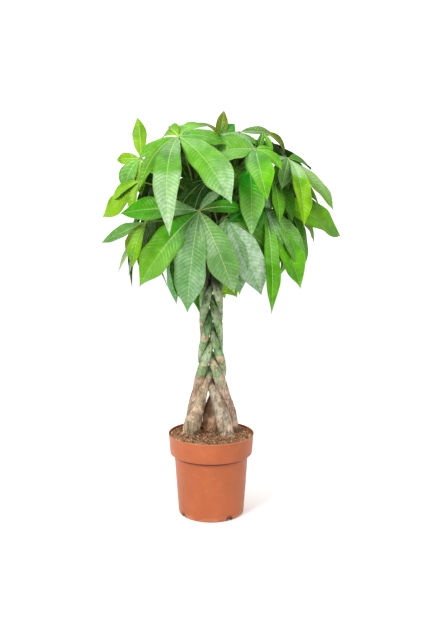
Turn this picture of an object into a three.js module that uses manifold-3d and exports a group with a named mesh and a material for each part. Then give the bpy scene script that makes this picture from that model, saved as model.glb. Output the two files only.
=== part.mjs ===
// Potted money tree: five plaited stems in a plastic nursery pot filled with soil, under a crown of
// hanging, hand-shaped leaves. Millimetres, +Z up, the front faces -Y. The origin is the centre of the
// pot's flat foot.

import * as THREE from 'three';
import { mergeVertices } from 'three/addons/utils/BufferGeometryUtils.js';
import Module from 'manifold-3d';

const wasm = await Module();
wasm.setup();

// Pot
const POT_HEIGHT = 201;
const RIM_RADIUS = 105;
const COLLAR_FOOT_RADIUS = 101;
const COLLAR_FOOT_HEIGHT = 152;
const BODY_TOP_RADIUS = 91;
const BODY_FOOT_RADIUS = 80.7;
const FOOT_ROUNDING = 5;
const POT_WALL = 2.2;
const POT_SIDES = 36;
const DRAIN_NOTCHES = 4;
const FIRST_DRAIN_ANGLE = -57;
const DRAIN_WIDTH = 12;
const DRAIN_HEIGHT = 6;

// Soil
const SOIL_HEIGHT = 196;
const SOIL_RELIEF = 2.2;
const SOIL_RINGS = 5;
const SOIL_MOUND = 3;
const SOIL_SEED = 7411;
const FIT_GAP = 0.3;

// Plaited stems: where each stands in the soil and its place in the round at the waist, in degrees
const STEM_SIDES = 8;
const STEM_FOOT = 140;
const SPLAY_HEIGHT = 190;
const WAIST_HEIGHT = 353;
const PLAIT_TOP = 640;
const PLAIT_WIDTH = 20;
const PLAIT_DEPTH = 17.5;
const PLAIT_RATE = 1.03;
const WAIST_SWELL = 0.3;
const STRAND_RADIUS = 9.8;
const STRAND_FOOT_RADIUS = 18.5;
const STRAND_STEPS = 27;
const FEET = [[-51, -12], [-46, 38], [38, -20], [50, 30], [-2, 29]];
const WAIST_PHASES = [0, 288, 216, 144, 72];

// Green shoots above the plait: where each one ends
const SHOOT_TOPS = [
  [-48, -48, 846],
  [-50, 42, 862],
  [28, -62, 808],
  [70, -6, 860],
  [16, 50, 872],
];
const SHOOT_TIP_RADIUS = 3.6;
const SHOOT_STEPS = 6;
const SHOOT_LIFT = 20;

// Leaves
const PETIOLE_ROOT_RADIUS = 2.2;
const PETIOLE_TIP_RADIUS = 1.6;
const PETIOLE_CLIMB = 0.45;
const PETIOLE_LOWEST_HUB = 600;
const PETIOLE_ARCH = 0.14;
const PETIOLE_SIDES = 4;
const PETIOLE_STEPS = 4;
const KNOB_RADIUS = 4.6;
const LONG_STATIONS = [0.14, 0.36, 0.6, 0.82];
const SHORT_STATIONS = [0.14, 0.44, 0.76];
const SHORT_BLADE = 180;
const BLADE_STALK = 0.08;
const BLADE_RISE = 1.2;
const BLADE_FALL = 0.7;
const BLADE_RATIO = 0.31;
const MIDRIB_THICKNESS = 1.8;
const BLADE_FOLD = 0.22;
const BLADE_LIFT = 12;
const CLEARANCE = 0.45;

// Leaves on the front: hub, turn about +Z from the front, lean back of the leaf's face, and its blades
// as angle from straight down, length and anything that sets that blade apart.
const FRONT_LEAVES = [
  {
    hub: [-70, -150, 898], turn: -8, lean: 52, dip: 8, sag: 0.45,
    blades: [
      [1, 243, { ratio: 0.27, bend: -10 }],
      [43, 211, { sag: 0.22, lift: 6, ratio: 0.36 }],
      [95, 102, { sag: 0.1, ratio: 0.38 }],
      [154, 118, { sag: 0.2, ratio: 0.46 }],
      [-176, 84, { sag: 0.15, ratio: 0.55 }],
      [-148, 92, { sag: 0.4, lift: 18, ratio: 0.46 }],
      [-70, 99, { sag: 0.2, lift: -10, ratio: 0.42 }],
      [-42, 148, { ratio: 0.2 }],
    ],
  },
  {
    hub: [-25, -190, 740], turn: -5, lean: 22, dip: 12, sag: 0.12, arch: 0.5,
    blades: [
      [-44, 206, { ratio: 0.34 }],
      [-7, 217],
      [27, 191, { ratio: 0.34 }],
      [105, 96],
      [146, 70],
      [-93, 183, { sag: 0, ratio: 0.29 }],
    ],
  },
  {
    hub: [95, -140, 872], turn: 8, lean: 55, dip: 5, sag: 0.3,
    blades: [
      [4, 144, { ratio: 0.4, bend: -10 }],
      [-97, 90, { sag: 0.08, ratio: 0.55 }],
      [-140, 105, { sag: 0, ratio: 0.36 }],
      [-25, 75],
      [55, 75],
      [120, 55],
    ],
  },
  {
    hub: [175, -60, 858], turn: 40, lean: 55, dip: 5, sag: 0.35, arch: 0,
    blades: [
      [30, 156, { lift: -9, ratio: 0.44 }],
      [-24, 202, { ratio: 0.24 }],
      [-48, 110],
      [-87, 62, { sag: 0.1 }],
      [94, 84, { sag: 0.3, dip: 0, lift: 0, ratio: 0.6 }],
    ],
  },
  {
    hub: [30, -165, 725], turn: 8, lean: 22, dip: 12, sag: 0.12,
    blades: [
      [28, 184, { ratio: 0.37 }],
      [11, 168],
      [-20, 110],
      [60, 125],
      [125, 75],
    ],
  },
  {
    hub: [83, -122, 842], turn: 5, lean: 40, dip: 20, sag: 0.3,
    blades: [
      [-6, 168, { ratio: 0.34 }],
      [62, 66],
      [-50, 100],
    ],
  },
  {
    hub: [115, -130, 755], turn: 25, lean: 30, dip: 12, sag: 0.15,
    blades: [
      [84, 261, { sag: 0.05, dip: 18, lift: 2, ratio: 0.32 }],
      [33, 176, { lift: -4 }],
      [23, 203, { lift: 0 }],
      [-4, 244, { lift: 4, ratio: 0.18 }],
      [-33, 150],
      [-70, 100],
      [10, 140, { ratio: 0.2 }],
    ],
  },
  {
    hub: [135, -95, 815], turn: 25, lean: 45, dip: 10, sag: 0.3,
    blades: [
      [80, 140, { sag: 0.22, ratio: 0.36 }],
      [-10, 122, { ratio: 0.25, dip: 2 }],
      [16, 114],
      [-55, 90],
    ],
  },
  {
    hub: [-160, -60, 858], turn: -20, lean: 15, dip: 0, sag: 0.2,
    blades: [
      [-168, 100, { sag: -0.1, bend: -14, ratio: 0.4 }],
      [-92, 62, { sag: 0.05, ratio: 0.44 }],
      [-28, 80, { bend: -20, ratio: 0.55 }],
      [5, 85],
      [60, 70],
    ],
  },
  {
    hub: [-160, -90, 805], turn: -30, lean: 35, dip: 10, sag: 0.2,
    blades: [
      [-60, 124, { lift: -24, bend: 22, ratio: 0.42 }],
      [-4, 75],
      [-75, 88],
    ],
  },
  {
    hub: [-145, -110, 715], turn: -30, lean: 30, dip: 10, sag: 0.2,
    blades: [
      [-79, 142, { sag: 0.1, lift: -4, bend: 8 }],
      [-38, 85],
      [-11, 105, { ratio: 0.36 }],
      [-32, 128, { lift: 0, roll: 80, ratio: 0.1 }],
      [-14, 125, { lift: 0, roll: 80, ratio: 0.1 }],
      [35, 161, { roll: 70, ratio: 0.15 }],
    ],
  },
  {
    hub: [-88, -60, 663], turn: -10, lean: 25, dip: 10, sag: 0.2,
    blades: [
      [7, 137, { roll: 30, ratio: 0.28 }],
      [20, 150],
    ],
  },
  {
    hub: [-25, 60, 650], turn: 0, lean: 20, dip: 10, sag: 0.2,
    blades: [
      [31, 137, { roll: -20, ratio: 0.42 }],
      [44, 150, { lift: -10, ratio: 0.46 }],
      [-2, 158],
    ],
  },
  {
    hub: [20, 30, 905], turn: 0, lean: 15, dip: -5, sag: 0,
    blades: [
      [172, 76, { ratio: 0.38 }],
      [-134, 86, { sag: 0.1, dip: 10, lift: 60, roll: 55, ratio: 0.44 }],
      [140, 56, { ratio: 0.55 }],
    ],
  },
  {
    hub: [65, 10, 924], turn: 20, lean: 48, dip: 0, sag: 0.2,
    blades: [
      [92, 92, { sag: 0.05, ratio: 0.46 }],
      [40, 66],
      [-70, 62],
    ],
  },
  {
    hub: [120, -10, 920], turn: 35, lean: 45, dip: 10, sag: 0.3,
    blades: [
      [60, 78, { lift: 24, ratio: 0.42 }],
      [0, 62],
      [-40, 50],
    ],
  },
];

// Whorls of leaves round the sides and back, and the shaded ones inside: height and radius of the
// hubs, lean, blade length and the directions from the front, all in degrees and millimetres.
const WHORLS = [
  { height: 885, radius: 108, lean: 62, length: 150, turns: [112, 158, 204, 250] },
  { height: 822, radius: 148, lean: 42, length: 168, turns: [82, 119, 156, 193, 230, 267] },
  { height: 748, radius: 160, lean: 28, length: 176, turns: [66, 104, 141, 178, 215, 252] },
  { height: 884, radius: 46, lean: 76, length: 96, turns: [30, 150, 268] },
  { height: 790, radius: 62, lean: 40, length: 112, turns: [-12, 150] },
  { height: 690, radius: 96, lean: 30, length: 118, turns: [38, 205] },
];
const WHORL_ANGLES = [-18, 20, -56, 58, -98, 102];
const WHORL_SEED = 20611;
const WHORL_AXIS = 10;

// Ways to bend a blade clear of its neighbours: turn, lift and share of its length.
const BLADE_BENDS = [
  [0, 0, 1], [0, 6, 1], [0, -6, 1], [5, 0, 1], [-5, 0, 1], [5, 6, 1], [-5, 6, 1], [5, -6, 1], [-5, -6, 1],
  [0, 12, 1], [0, -12, 1], [10, 0, 1], [-10, 0, 1], [8, 12, 0.92], [-8, 12, 0.92], [8, -12, 0.92],
  [-8, -12, 0.92], [0, 20, 0.92], [0, -20, 0.92], [0, 0, 0.8], [0, 12, 0.8], [0, -12, 0.8], [12, 0, 0.8],
  [-12, 0, 0.8], [0, 24, 0.8], [0, -24, 0.8], [0, 0, 0.64], [0, 14, 0.64], [0, -14, 0.64], [14, 14, 0.64],
  [-14, 14, 0.64], [14, -14, 0.64], [-14, -14, 0.64], [0, 30, 0.64], [0, -30, 0.64], [0, 0, 0.5],
  [0, 20, 0.5], [0, -20, 0.5], [16, 0, 0.5], [-16, 0, 0.5],
];
const PETIOLE_BENDS = [
  [0, 0], [12, 0], [-12, 0], [0, 0.12], [0, -0.12], [24, 0], [-24, 0], [12, 0.2], [-12, 0.2], [36, 0.1],
  [-36, -0.1], [48, 0.2], [-48, 0.2], [0, 0.35], [24, 0.35], [-24, 0.35],
];

const SOIL = new THREE.MeshStandardMaterial({ color: '#5a4130', roughness: 0.95, metalness: 0 });
const PLASTIC = new THREE.MeshStandardMaterial({ color: '#b4552f', roughness: 0.45, metalness: 0 });
const BARK = new THREE.MeshStandardMaterial({ color: '#7c7650', roughness: 0.8, metalness: 0 });
const FOLIAGE = new THREE.MeshStandardMaterial({ color: '#4f9a24', roughness: 0.4, metalness: 0 });

const radians = THREE.MathUtils.degToRad;
const vector = (x, y, z) => new THREE.Vector3(x, y, z);

function seededRandom(seed) {
  let state = seed;
  return () => {
    state = (state * 16807) % 2147483647;
    return state / 2147483647;
  };
}

// A closed solid from rings of equal length, each end closed by a fan round its own centre point.
function loft(rings, startPoint, endPoint) {
  const sides = rings[0].length;
  const points = rings.flat();
  const start = points.length;
  points.push(startPoint, endPoint);
  const triangles = [];
  for (let side = 0; side < sides; side += 1) {
    const next = (side + 1) % sides;
    triangles.push([start, next, side]);
    for (let ring = 0; ring < rings.length - 1; ring += 1) {
      const low = ring * sides;
      const high = low + sides;
      triangles.push([low + side, low + next, high + next], [low + side, high + next, high + side]);
    }
    const last = (rings.length - 1) * sides;
    triangles.push([start + 1, last + side, last + next]);
  }
  return solidFrom(points, triangles);
}

function solidFrom(points, triangles) {
  const geometry = new THREE.BufferGeometry();
  geometry.setAttribute('position', new THREE.Float32BufferAttribute(points.flatMap((p) => p.toArray()), 3));
  geometry.setIndex(triangles.flat());
  return toSolid(geometry);
}

function toSolid(geometry) {
  const bare = geometry.clone();
  bare.deleteAttribute('normal');
  bare.deleteAttribute('uv');
  const merged = mergeVertices(bare, 1e-4);
  const index = merged.index.array;
  const kept = [];
  for (let i = 0; i < index.length; i += 3) {
    const [a, b, c] = [index[i], index[i + 1], index[i + 2]];
    if (a !== b && b !== c && c !== a) {
      kept.push(a, b, c);
    }
  }
  const vertProperties = new Float32Array(merged.attributes.position.array);
  const volume = signedVolume(vertProperties, kept);
  if (volume < 0) {
    for (let i = 0; i < kept.length; i += 3) {
      [kept[i + 1], kept[i + 2]] = [kept[i + 2], kept[i + 1]];
    }
  }
  return new wasm.Manifold(new wasm.Mesh({ numProp: 3, vertProperties, triVerts: new Uint32Array(kept) }));
}

function signedVolume(positions, index) {
  let total = 0;
  for (let i = 0; i < index.length; i += 3) {
    const [a, b, c] = [0, 1, 2].map((k) => vector().fromArray(positions, 3 * index[i + k]));
    total += a.dot(b.cross(c)) / 6;
  }
  return total;
}

function toMesh(name, solid, material) {
  const { vertProperties, triVerts } = solid.getMesh();
  const geometry = new THREE.BufferGeometry();
  geometry.setAttribute('position', new THREE.BufferAttribute(new Float32Array(vertProperties), 3));
  geometry.setIndex(new THREE.BufferAttribute(new Uint32Array(triVerts), 1));
  geometry.computeVertexNormals();
  const mesh = new THREE.Mesh(geometry, material);
  mesh.name = name;
  return mesh;
}

function largestPiece(solid) {
  const pieces = solid.decompose();
  return pieces.reduce((best, piece) => (piece.volume() > best.volume() ? piece : best));
}

// Pot: one turned wall with a foot, a collar and a rounded rim
function potProfile() {
  const collarWall = RIM_RADIUS - POT_WALL;
  return [
    [0, 0],
    [BODY_FOOT_RADIUS - FOOT_ROUNDING, 0],
    [BODY_FOOT_RADIUS - 1.4, 1.5],
    [BODY_FOOT_RADIUS, FOOT_ROUNDING],
    [BODY_TOP_RADIUS, COLLAR_FOOT_HEIGHT - 2],
    [COLLAR_FOOT_RADIUS - 2, COLLAR_FOOT_HEIGHT - 1],
    [COLLAR_FOOT_RADIUS, COLLAR_FOOT_HEIGHT + 1],
    [RIM_RADIUS - 0.6, POT_HEIGHT - 2.5],
    [RIM_RADIUS, POT_HEIGHT - 0.8],
    [RIM_RADIUS - 0.8, POT_HEIGHT],
    [collarWall, POT_HEIGHT - 0.6],
    [COLLAR_FOOT_RADIUS - POT_WALL, COLLAR_FOOT_HEIGHT + 3],
    [BODY_TOP_RADIUS - POT_WALL, COLLAR_FOOT_HEIGHT],
    [BODY_FOOT_RADIUS - POT_WALL, FOOT_ROUNDING],
    [BODY_FOOT_RADIUS - FOOT_ROUNDING, POT_WALL + 0.6],
    [0, POT_WALL + 0.6],
  ].map(([radius, height]) => new THREE.Vector2(radius, height));
}

function makePot() {
  const lathe = new THREE.LatheGeometry(potProfile(), POT_SIDES);
  lathe.rotateX(Math.PI / 2);
  let pot = toSolid(lathe);
  for (let notch = 0; notch < DRAIN_NOTCHES; notch += 1) {
    const cutter = new THREE.BoxGeometry(20, DRAIN_WIDTH, 2 * DRAIN_HEIGHT);
    cutter.translate(BODY_FOOT_RADIUS - 1, 0, 0);
    cutter.rotateZ(radians(FIRST_DRAIN_ANGLE) + (2 * Math.PI * notch) / DRAIN_NOTCHES);
    pot = pot.subtract(toSolid(cutter));
  }
  return pot;
}

// Soil: fills the pot to just under the rim, with an uneven top
function makeSoil(stemCutters) {
  const random = seededRandom(SOIL_SEED);
  const floor = POT_WALL + 0.6 + FIT_GAP;
  const ledge = COLLAR_FOOT_HEIGHT + FIT_GAP;
  const heights = [floor, FOOT_ROUNDING, ledge, ledge + 3, SOIL_HEIGHT];
  const collarSlope = (RIM_RADIUS - COLLAR_FOOT_RADIUS) / (POT_HEIGHT - COLLAR_FOOT_HEIGHT);
  const walls = [
    BODY_FOOT_RADIUS - FOOT_ROUNDING,
    BODY_FOOT_RADIUS - POT_WALL,
    BODY_TOP_RADIUS - POT_WALL,
    COLLAR_FOOT_RADIUS - POT_WALL,
    COLLAR_FOOT_RADIUS - POT_WALL + collarSlope * (SOIL_HEIGHT - ledge - 3),
  ];
  const circle = (radius, height) => Array.from({ length: POT_SIDES }, (_, side) => {
    const angle = (2 * Math.PI * side) / POT_SIDES;
    return vector(radius * Math.cos(angle), radius * Math.sin(angle), height);
  });
  const rings = heights.map((height, k) => circle(walls[k] - 2 * FIT_GAP, height));
  const edge = walls[4] - 2 * FIT_GAP;
  for (let ring = 1; ring < SOIL_RINGS; ring += 1) {
    const radius = edge * (1 - ring / SOIL_RINGS);
    const bumpy = circle(radius, SOIL_HEIGHT);
    bumpy.forEach((point) => {
      point.z += SOIL_RELIEF * (2 * random() - 1) + SOIL_MOUND * (1 - radius / edge);
    });
    rings.push(bumpy);
  }
  let soil = loft(rings, vector(0, 0, heights[0]), vector(0, 0, SOIL_HEIGHT + SOIL_MOUND));
  stemCutters.forEach((cutter) => {
    soil = soil.subtract(cutter);
  });
  return largestPiece(soil);
}

// Plait: from its foot each strand closes in on one loop, a figure of eight seen from above
function strandCentre(strand, height) {
  const turning = Math.max(height, WAIST_HEIGHT) - WAIST_HEIGHT;
  const angle = radians(WAIST_PHASES[strand] + PLAIT_RATE * turning);
  const spread = 1 + WAIST_SWELL * THREE.MathUtils.clamp(1 - turning / 77, 0, 1);
  const share = THREE.MathUtils.clamp((height - SPLAY_HEIGHT) / (WAIST_HEIGHT - SPLAY_HEIGHT), 0, 1);
  const x = spread * PLAIT_WIDTH * Math.sin(angle);
  const y = spread * PLAIT_DEPTH * Math.sin(2 * angle);
  const [footX, footY] = FEET[strand];
  return vector(footX + (x - footX) * share ** 1.5, footY + (y - footY) * share ** 1.9, height);
}

const strandHeight = (step) => SPLAY_HEIGHT + ((PLAIT_TOP - SPLAY_HEIGHT) * step) / STRAND_STEPS;

// A strand is pressed thinner where another passes close, at this level or half a step off it
function strandRadius(strand, step) {
  const height = strandHeight(step);
  const share = THREE.MathUtils.clamp((WAIST_HEIGHT - height) / (WAIST_HEIGHT - SPLAY_HEIGHT), 0, 1);
  const wanted = STRAND_RADIUS + (STRAND_FOOT_RADIUS - STRAND_RADIUS) * share ** 0.8;
  const gaps = FEET.flatMap((_, other) => [-1, 0, 1].map((way) => {
    const middle = (which) => strandCentre(which, height)
      .lerp(strandCentre(which, strandHeight(THREE.MathUtils.clamp(step + way, 0, STRAND_STEPS))), 0.5);
    return other === strand ? Infinity : middle(strand).distanceTo(middle(other));
  }));
  return Math.min(wanted, Math.min(...gaps) / 2 - 0.25);
}

// The shoot leaves the plait along the strand's own line and leans out to its tip
function shootCurve(strand) {
  const start = strandCentre(strand, PLAIT_TOP);
  const end = vector(...SHOOT_TOPS[strand]);
  const middle = start.clone().lerp(end, 0.45);
  middle.z += SHOOT_LIFT;
  return new THREE.QuadraticBezierCurve3(start, middle, end);
}

function levelRing(centre, radius, sides) {
  return Array.from({ length: sides }, (_, side) => {
    const angle = (2 * Math.PI * (side + 0.5)) / sides;
    return vector(centre.x + radius * Math.cos(angle), centre.y + radius * Math.sin(angle), centre.z);
  });
}

function makeStem(strand, extra) {
  const foot = strandCentre(strand, STEM_FOOT - extra);
  const rings = [levelRing(foot, strandRadius(strand, 0) + extra, STEM_SIDES)];
  for (let step = 0; step <= STRAND_STEPS; step += 1) {
    const centre = strandCentre(strand, strandHeight(step));
    rings.push(levelRing(centre, strandRadius(strand, step) + extra, STEM_SIDES));
  }
  const curve = shootCurve(strand);
  const base = strandRadius(strand, STRAND_STEPS);
  for (let step = 1; step <= SHOOT_STEPS; step += 1) {
    const share = step / SHOOT_STEPS;
    const radius = SHOOT_TIP_RADIUS + (base - SHOOT_TIP_RADIUS) * (1 - share) ** 1.5;
    rings.push(levelRing(curve.getPoint(share), radius + extra, STEM_SIDES));
  }
  const top = vector(...SHOOT_TOPS[strand]);
  top.z += 3 + extra;
  return loft(rings, foot, top);
}

// Leaf: a frame at its hub, with the blades fanned out round it
function leafFrame(leaf) {
  const turn = radians(leaf.turn);
  const lean = radians(leaf.lean);
  return {
    hub: vector(...leaf.hub),
    face: vector(Math.sin(turn) * Math.cos(lean), -Math.cos(turn) * Math.cos(lean), Math.sin(lean)),
    down: vector(Math.sin(turn) * Math.sin(lean), -Math.cos(turn) * Math.sin(lean), -Math.cos(lean)),
    right: vector(Math.cos(turn), Math.sin(turn), 0),
  };
}

function bladeCurve(leaf, blade, bend) {
  const [angle, fullLength, own = {}] = blade;
  const [turn, lift, share] = bend;
  const frame = leafFrame(leaf);
  const length = fullLength * share;
  const across = (degrees) => frame.down.clone().multiplyScalar(Math.cos(radians(degrees)))
    .addScaledVector(frame.right, Math.sin(radians(degrees)));
  const dip = radians((own.dip ?? leaf.dip) - lift);
  const reach = across(angle + turn).multiplyScalar(Math.cos(dip));
  reach.addScaledVector(frame.face, -Math.sin(dip));
  reach.z -= own.sag ?? leaf.sag;
  reach.normalize();
  const rise = radians(own.lift ?? BLADE_LIFT);
  const start = across(angle + turn + (own.bend ?? 0)).multiplyScalar(Math.cos(rise));
  start.addScaledVector(frame.face, Math.sin(rise)).normalize();
  return new THREE.QuadraticBezierCurve3(
    frame.hub,
    frame.hub.clone().addScaledVector(start, 0.5 * length),
    frame.hub.clone().addScaledVector(reach, length),
  );
}

function halfWidth(share, width) {
  const along = Math.max(0, (share - BLADE_STALK) / (1 - BLADE_STALK));
  const peak = BLADE_RISE / (BLADE_RISE + BLADE_FALL);
  const top = peak ** BLADE_RISE * (1 - peak) ** BLADE_FALL;
  return (0.5 * width * along ** BLADE_RISE * (1 - along) ** BLADE_FALL) / top;
}

// A thin blade folded a little along its midrib, so that the section is a flat V
function bladeSolid(leaf, blade, bend, extra) {
  const own = blade[2] ?? {};
  const curve = bladeCurve(leaf, blade, bend);
  const { face } = leafFrame(leaf);
  const width = (own.ratio ?? BLADE_RATIO) * blade[1] * bend[2];
  const roll = radians(own.roll ?? 0);
  const stations = blade[1] < SHORT_BLADE ? SHORT_STATIONS : LONG_STATIONS;
  const rings = stations.map((share) => {
    const point = curve.getPoint(share);
    const along = curve.getTangent(share);
    const flat = face.clone().addScaledVector(along, -face.dot(along)).normalize();
    const level = along.clone().cross(flat);
    const up = flat.clone().multiplyScalar(Math.cos(roll)).addScaledVector(level, Math.sin(roll));
    const side = level.clone().multiplyScalar(Math.cos(roll)).addScaledVector(flat, -Math.sin(roll));
    const half = halfWidth(share, width) + extra;
    const thick = MIDRIB_THICKNESS / 2 + extra;
    return [
      point.clone().addScaledVector(side, -half).addScaledVector(up, half * BLADE_FOLD),
      point.clone().addScaledVector(up, -thick),
      point.clone().addScaledVector(side, half).addScaledVector(up, half * BLADE_FOLD),
      point.clone().addScaledVector(up, thick),
    ];
  });
  const points = [curve.v0, ...rings.flat(), curve.v2.clone().addScaledVector(curve.getTangent(1), extra)];
  const last = points.length - 1;
  const triangles = [];
  const edgeFirst = [true, false, true, false];
  for (let side = 0; side < 4; side += 1) {
    const next = (side + 1) % 4;
    triangles.push([0, 1 + next, 1 + side], [last, last - 4 + side, last - 4 + next]);
    for (let ring = 0; ring < rings.length - 1; ring += 1) {
      const low = 1 + 4 * ring;
      const high = low + 4;
      if (edgeFirst[side]) {
        triangles.push([low + side, low + next, high + next], [low + side, high + next, high + side]);
      } else {
        triangles.push([low + side, low + next, high + side], [low + next, high + next, high + side]);
      }
    }
  }
  return solidFrom(points, triangles);
}

// Petiole: from the nearest shoot, arching over to the hub
function petioleCurve(leaf, bend) {
  const [shift, extraArch] = bend;
  const hub = vector(...leaf.hub);
  const height = PLAIT_TOP + PETIOLE_CLIMB * (hub.z - PETIOLE_LOWEST_HUB) + shift;
  let root = null;
  let nearest = Infinity;
  SHOOT_TOPS.forEach((top, strand) => {
    const share = THREE.MathUtils.clamp((height - PLAIT_TOP) / (top[2] - PLAIT_TOP), 0, 0.97);
    const point = shootCurve(strand).getPoint(share);
    const distance = point.distanceTo(hub);
    if (distance < nearest) {
      nearest = distance;
      root = point;
    }
  });
  const control = root.clone().lerp(hub, 0.6);
  control.z += (leaf.arch + extraArch) * nearest;
  return new THREE.QuadraticBezierCurve3(root, control, hub);
}

function petioleSolid(leaf, bend, extra) {
  const curve = petioleCurve(leaf, bend);
  const rings = [];
  for (let step = 0; step <= PETIOLE_STEPS; step += 1) {
    const share = step / PETIOLE_STEPS;
    const along = curve.getTangent(share);
    const side = along.clone().cross(vector(0, 0, 1)).normalize();
    const up = side.clone().cross(along);
    const radius = PETIOLE_ROOT_RADIUS + (PETIOLE_TIP_RADIUS - PETIOLE_ROOT_RADIUS) * share + extra;
    const centre = curve.getPoint(share);
    rings.push(Array.from({ length: PETIOLE_SIDES }, (_, k) => {
      const angle = (2 * Math.PI * k) / PETIOLE_SIDES;
      return centre.clone().addScaledVector(side, radius * Math.cos(angle))
        .addScaledVector(up, radius * Math.sin(angle));
    }));
  }
  const stalk = loft(rings, curve.getPoint(0), curve.getPoint(1));
  const knob = new THREE.OctahedronGeometry(KNOB_RADIUS + extra, 0);
  knob.translate(...leaf.hub);
  return stalk.add(toSolid(knob));
}

function whorlLeaves() {
  const random = seededRandom(WHORL_SEED);
  const spread = (size) => size * (2 * random() - 1);
  const leaves = [];
  WHORLS.forEach((whorl) => {
    whorl.turns.forEach((middle, place) => {
      const outer = place % 2 === 0 ? 1 : -1;
      const turn = middle + spread(4);
      const radius = whorl.radius + 11 * outer + spread(4);
      const height = whorl.height + 15 * outer + spread(6);
      const x = WHORL_AXIS + radius * Math.sin(radians(turn));
      const y = -radius * Math.cos(radians(turn));
      const blades = WHORL_ANGLES.map((angle) => {
        const shrink = 1 - 0.42 * (Math.abs(angle) / 120) ** 1.5;
        return [angle + spread(6), whorl.length * shrink * (1 + spread(0.12))];
      });
      leaves.push({ hub: [x, y, height], turn, lean: whorl.lean + spread(6), dip: 10, sag: 0.25, blades });
    });
  });
  return leaves;
}

function crosses(solid, others) {
  const box = solid.boundingBox();
  return others.some((other) => {
    const apart = [0, 1, 2].some((k) => box.min[k] > other.box.max[k] || box.max[k] < other.box.min[k]);
    return !apart && solid.intersect(other.solid).volume() > 1e-6;
  });
}

const placed = (solid, leaf) => ({ solid, leaf, box: solid.boundingBox() });

const tree = new THREE.Group();
const strands = FEET.map((_, strand) => strand);
const stems = strands.map((strand) => makeStem(strand, 0));
const stemCutters = strands.map((strand) => makeStem(strand, FIT_GAP));

tree.add(toMesh('pot', makePot(), PLASTIC));
tree.add(toMesh('soil', makeSoil(stemCutters), SOIL));
stems.forEach((stem, strand) => {
  tree.add(toMesh(`stem_${strand + 1}`, stem, BARK));
});

const leaves = [...FRONT_LEAVES, ...whorlLeaves()].map((leaf) => ({ arch: PETIOLE_ARCH, ...leaf }));
const petioles = [];
leaves.forEach((leaf, number) => {
  const cut = (solid) => largestPiece(stemCutters.reduce((rest, cutter) => rest.subtract(cutter), solid));
  const choice = PETIOLE_BENDS.find((bend) => !crosses(petioleSolid(leaf, bend, CLEARANCE), petioles));
  if (choice) {
    petioles.push(placed(cut(petioleSolid(leaf, choice, 0)), number));
  }
});

const blades = [];
const stalksAndStems = [...petioles, ...stems.map((stem) => placed(stem, -1))];
leaves.forEach((leaf, number) => {
  const others = [...stalksAndStems, ...blades].filter((item) => item.leaf !== number);
  leaf.blades.forEach((blade) => {
    const choice = BLADE_BENDS.find((bend) => !crosses(bladeSolid(leaf, blade, bend, CLEARANCE), others));
    if (choice) {
      blades.push(placed(bladeSolid(leaf, blade, choice, 0), number));
    }
  });
});

petioles.forEach((petiole, order) => {
  const own = blades.filter((blade) => blade.leaf === petiole.leaf);
  if (own.length > 0) {
    const leaf = own.reduce((whole, blade) => whole.add(blade.solid), petiole.solid);
    tree.add(toMesh(`leaf_${String(order + 1).padStart(2, '0')}`, largestPiece(leaf), FOLIAGE));
  }
});

export default tree;
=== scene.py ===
# Looks of the potted money tree: plaited trunk, hand-shaped leaves, soil and nursery pot.
# The frame is in metres. Driving sizes below are in millimetres and are turned into metres once.

from dataclasses import dataclass
from math import atan2, cos, exp, hypot, pi, radians, sin, sqrt

import bpy
import numpy as np
from mathutils import Euler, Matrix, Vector, noise


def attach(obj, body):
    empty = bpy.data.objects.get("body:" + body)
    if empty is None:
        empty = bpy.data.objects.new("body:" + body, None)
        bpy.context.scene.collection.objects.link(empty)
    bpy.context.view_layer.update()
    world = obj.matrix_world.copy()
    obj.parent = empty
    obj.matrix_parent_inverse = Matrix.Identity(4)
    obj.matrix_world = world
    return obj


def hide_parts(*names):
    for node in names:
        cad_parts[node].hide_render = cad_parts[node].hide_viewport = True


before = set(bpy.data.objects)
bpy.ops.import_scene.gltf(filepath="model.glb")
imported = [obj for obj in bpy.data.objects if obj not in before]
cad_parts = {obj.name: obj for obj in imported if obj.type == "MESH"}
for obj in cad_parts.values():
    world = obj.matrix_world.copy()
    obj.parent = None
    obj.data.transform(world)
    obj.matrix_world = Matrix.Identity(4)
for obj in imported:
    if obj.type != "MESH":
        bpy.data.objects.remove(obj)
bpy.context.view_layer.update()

MM = 0.001

# Camera: 1.8 m in front of the trunk at three quarters of the height, its tilt from straight down
CAMERA_PLACE = (-1.7, -1800, 731)
CAMERA_TILT = 82.44
FOCAL_PIXELS = 752
PHOTO_HEIGHT = 630
SENSOR = 36

# Studio: strengths of the surroundings, and each lamp's place and breadth in metres with its power
WORLD_LIGHT = 0.42
WORLD_BACKDROP = 1.1
FLOOR_RADIUS = 9
FLOOR_GLOW = 0.15
LAMP_TARGET = (0, 0, 0.6)
LAMPS = {
    "key": ((-1.5, -2.0, 2.3), 1.1, 58),
    "front": ((1.4, -2.2, 2.4), 1.4, 27),
}
OVERHEAD_STRENGTH = 1.2
OVERHEAD_BREADTH = 60
OVERHEAD_TILT = (-14, -8, 0)

# Pot, as in the frame
POT_HEIGHT = 201.0
RIM_RADIUS = 105.0
LIP_ROUNDING = 1.1
COLLAR_FOOT_RADIUS = 101.0
COLLAR_FOOT_HEIGHT = 152.0
COLLAR_ROUNDING = 2.6
BODY_TOP_RADIUS = 91.0
BODY_TOP_HEIGHT = COLLAR_FOOT_HEIGHT - 2
BODY_TOP_ROUNDING = 1.2
BODY_FOOT_RADIUS = 80.7
FOOT_ROUNDING = 5.0
FOOT_HOLLOW = 0.6
POT_WALL = 2.2
POT_SIDES = 180
DRAIN_NOTCHES = 4
FIRST_DRAIN_ANGLE = -57.0
DRAIN_LENGTH = 20.0
DRAIN_WIDTH = 12.0
DRAIN_HEIGHT = 6.0
DRAIN_ROUNDING = 1.6

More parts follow.
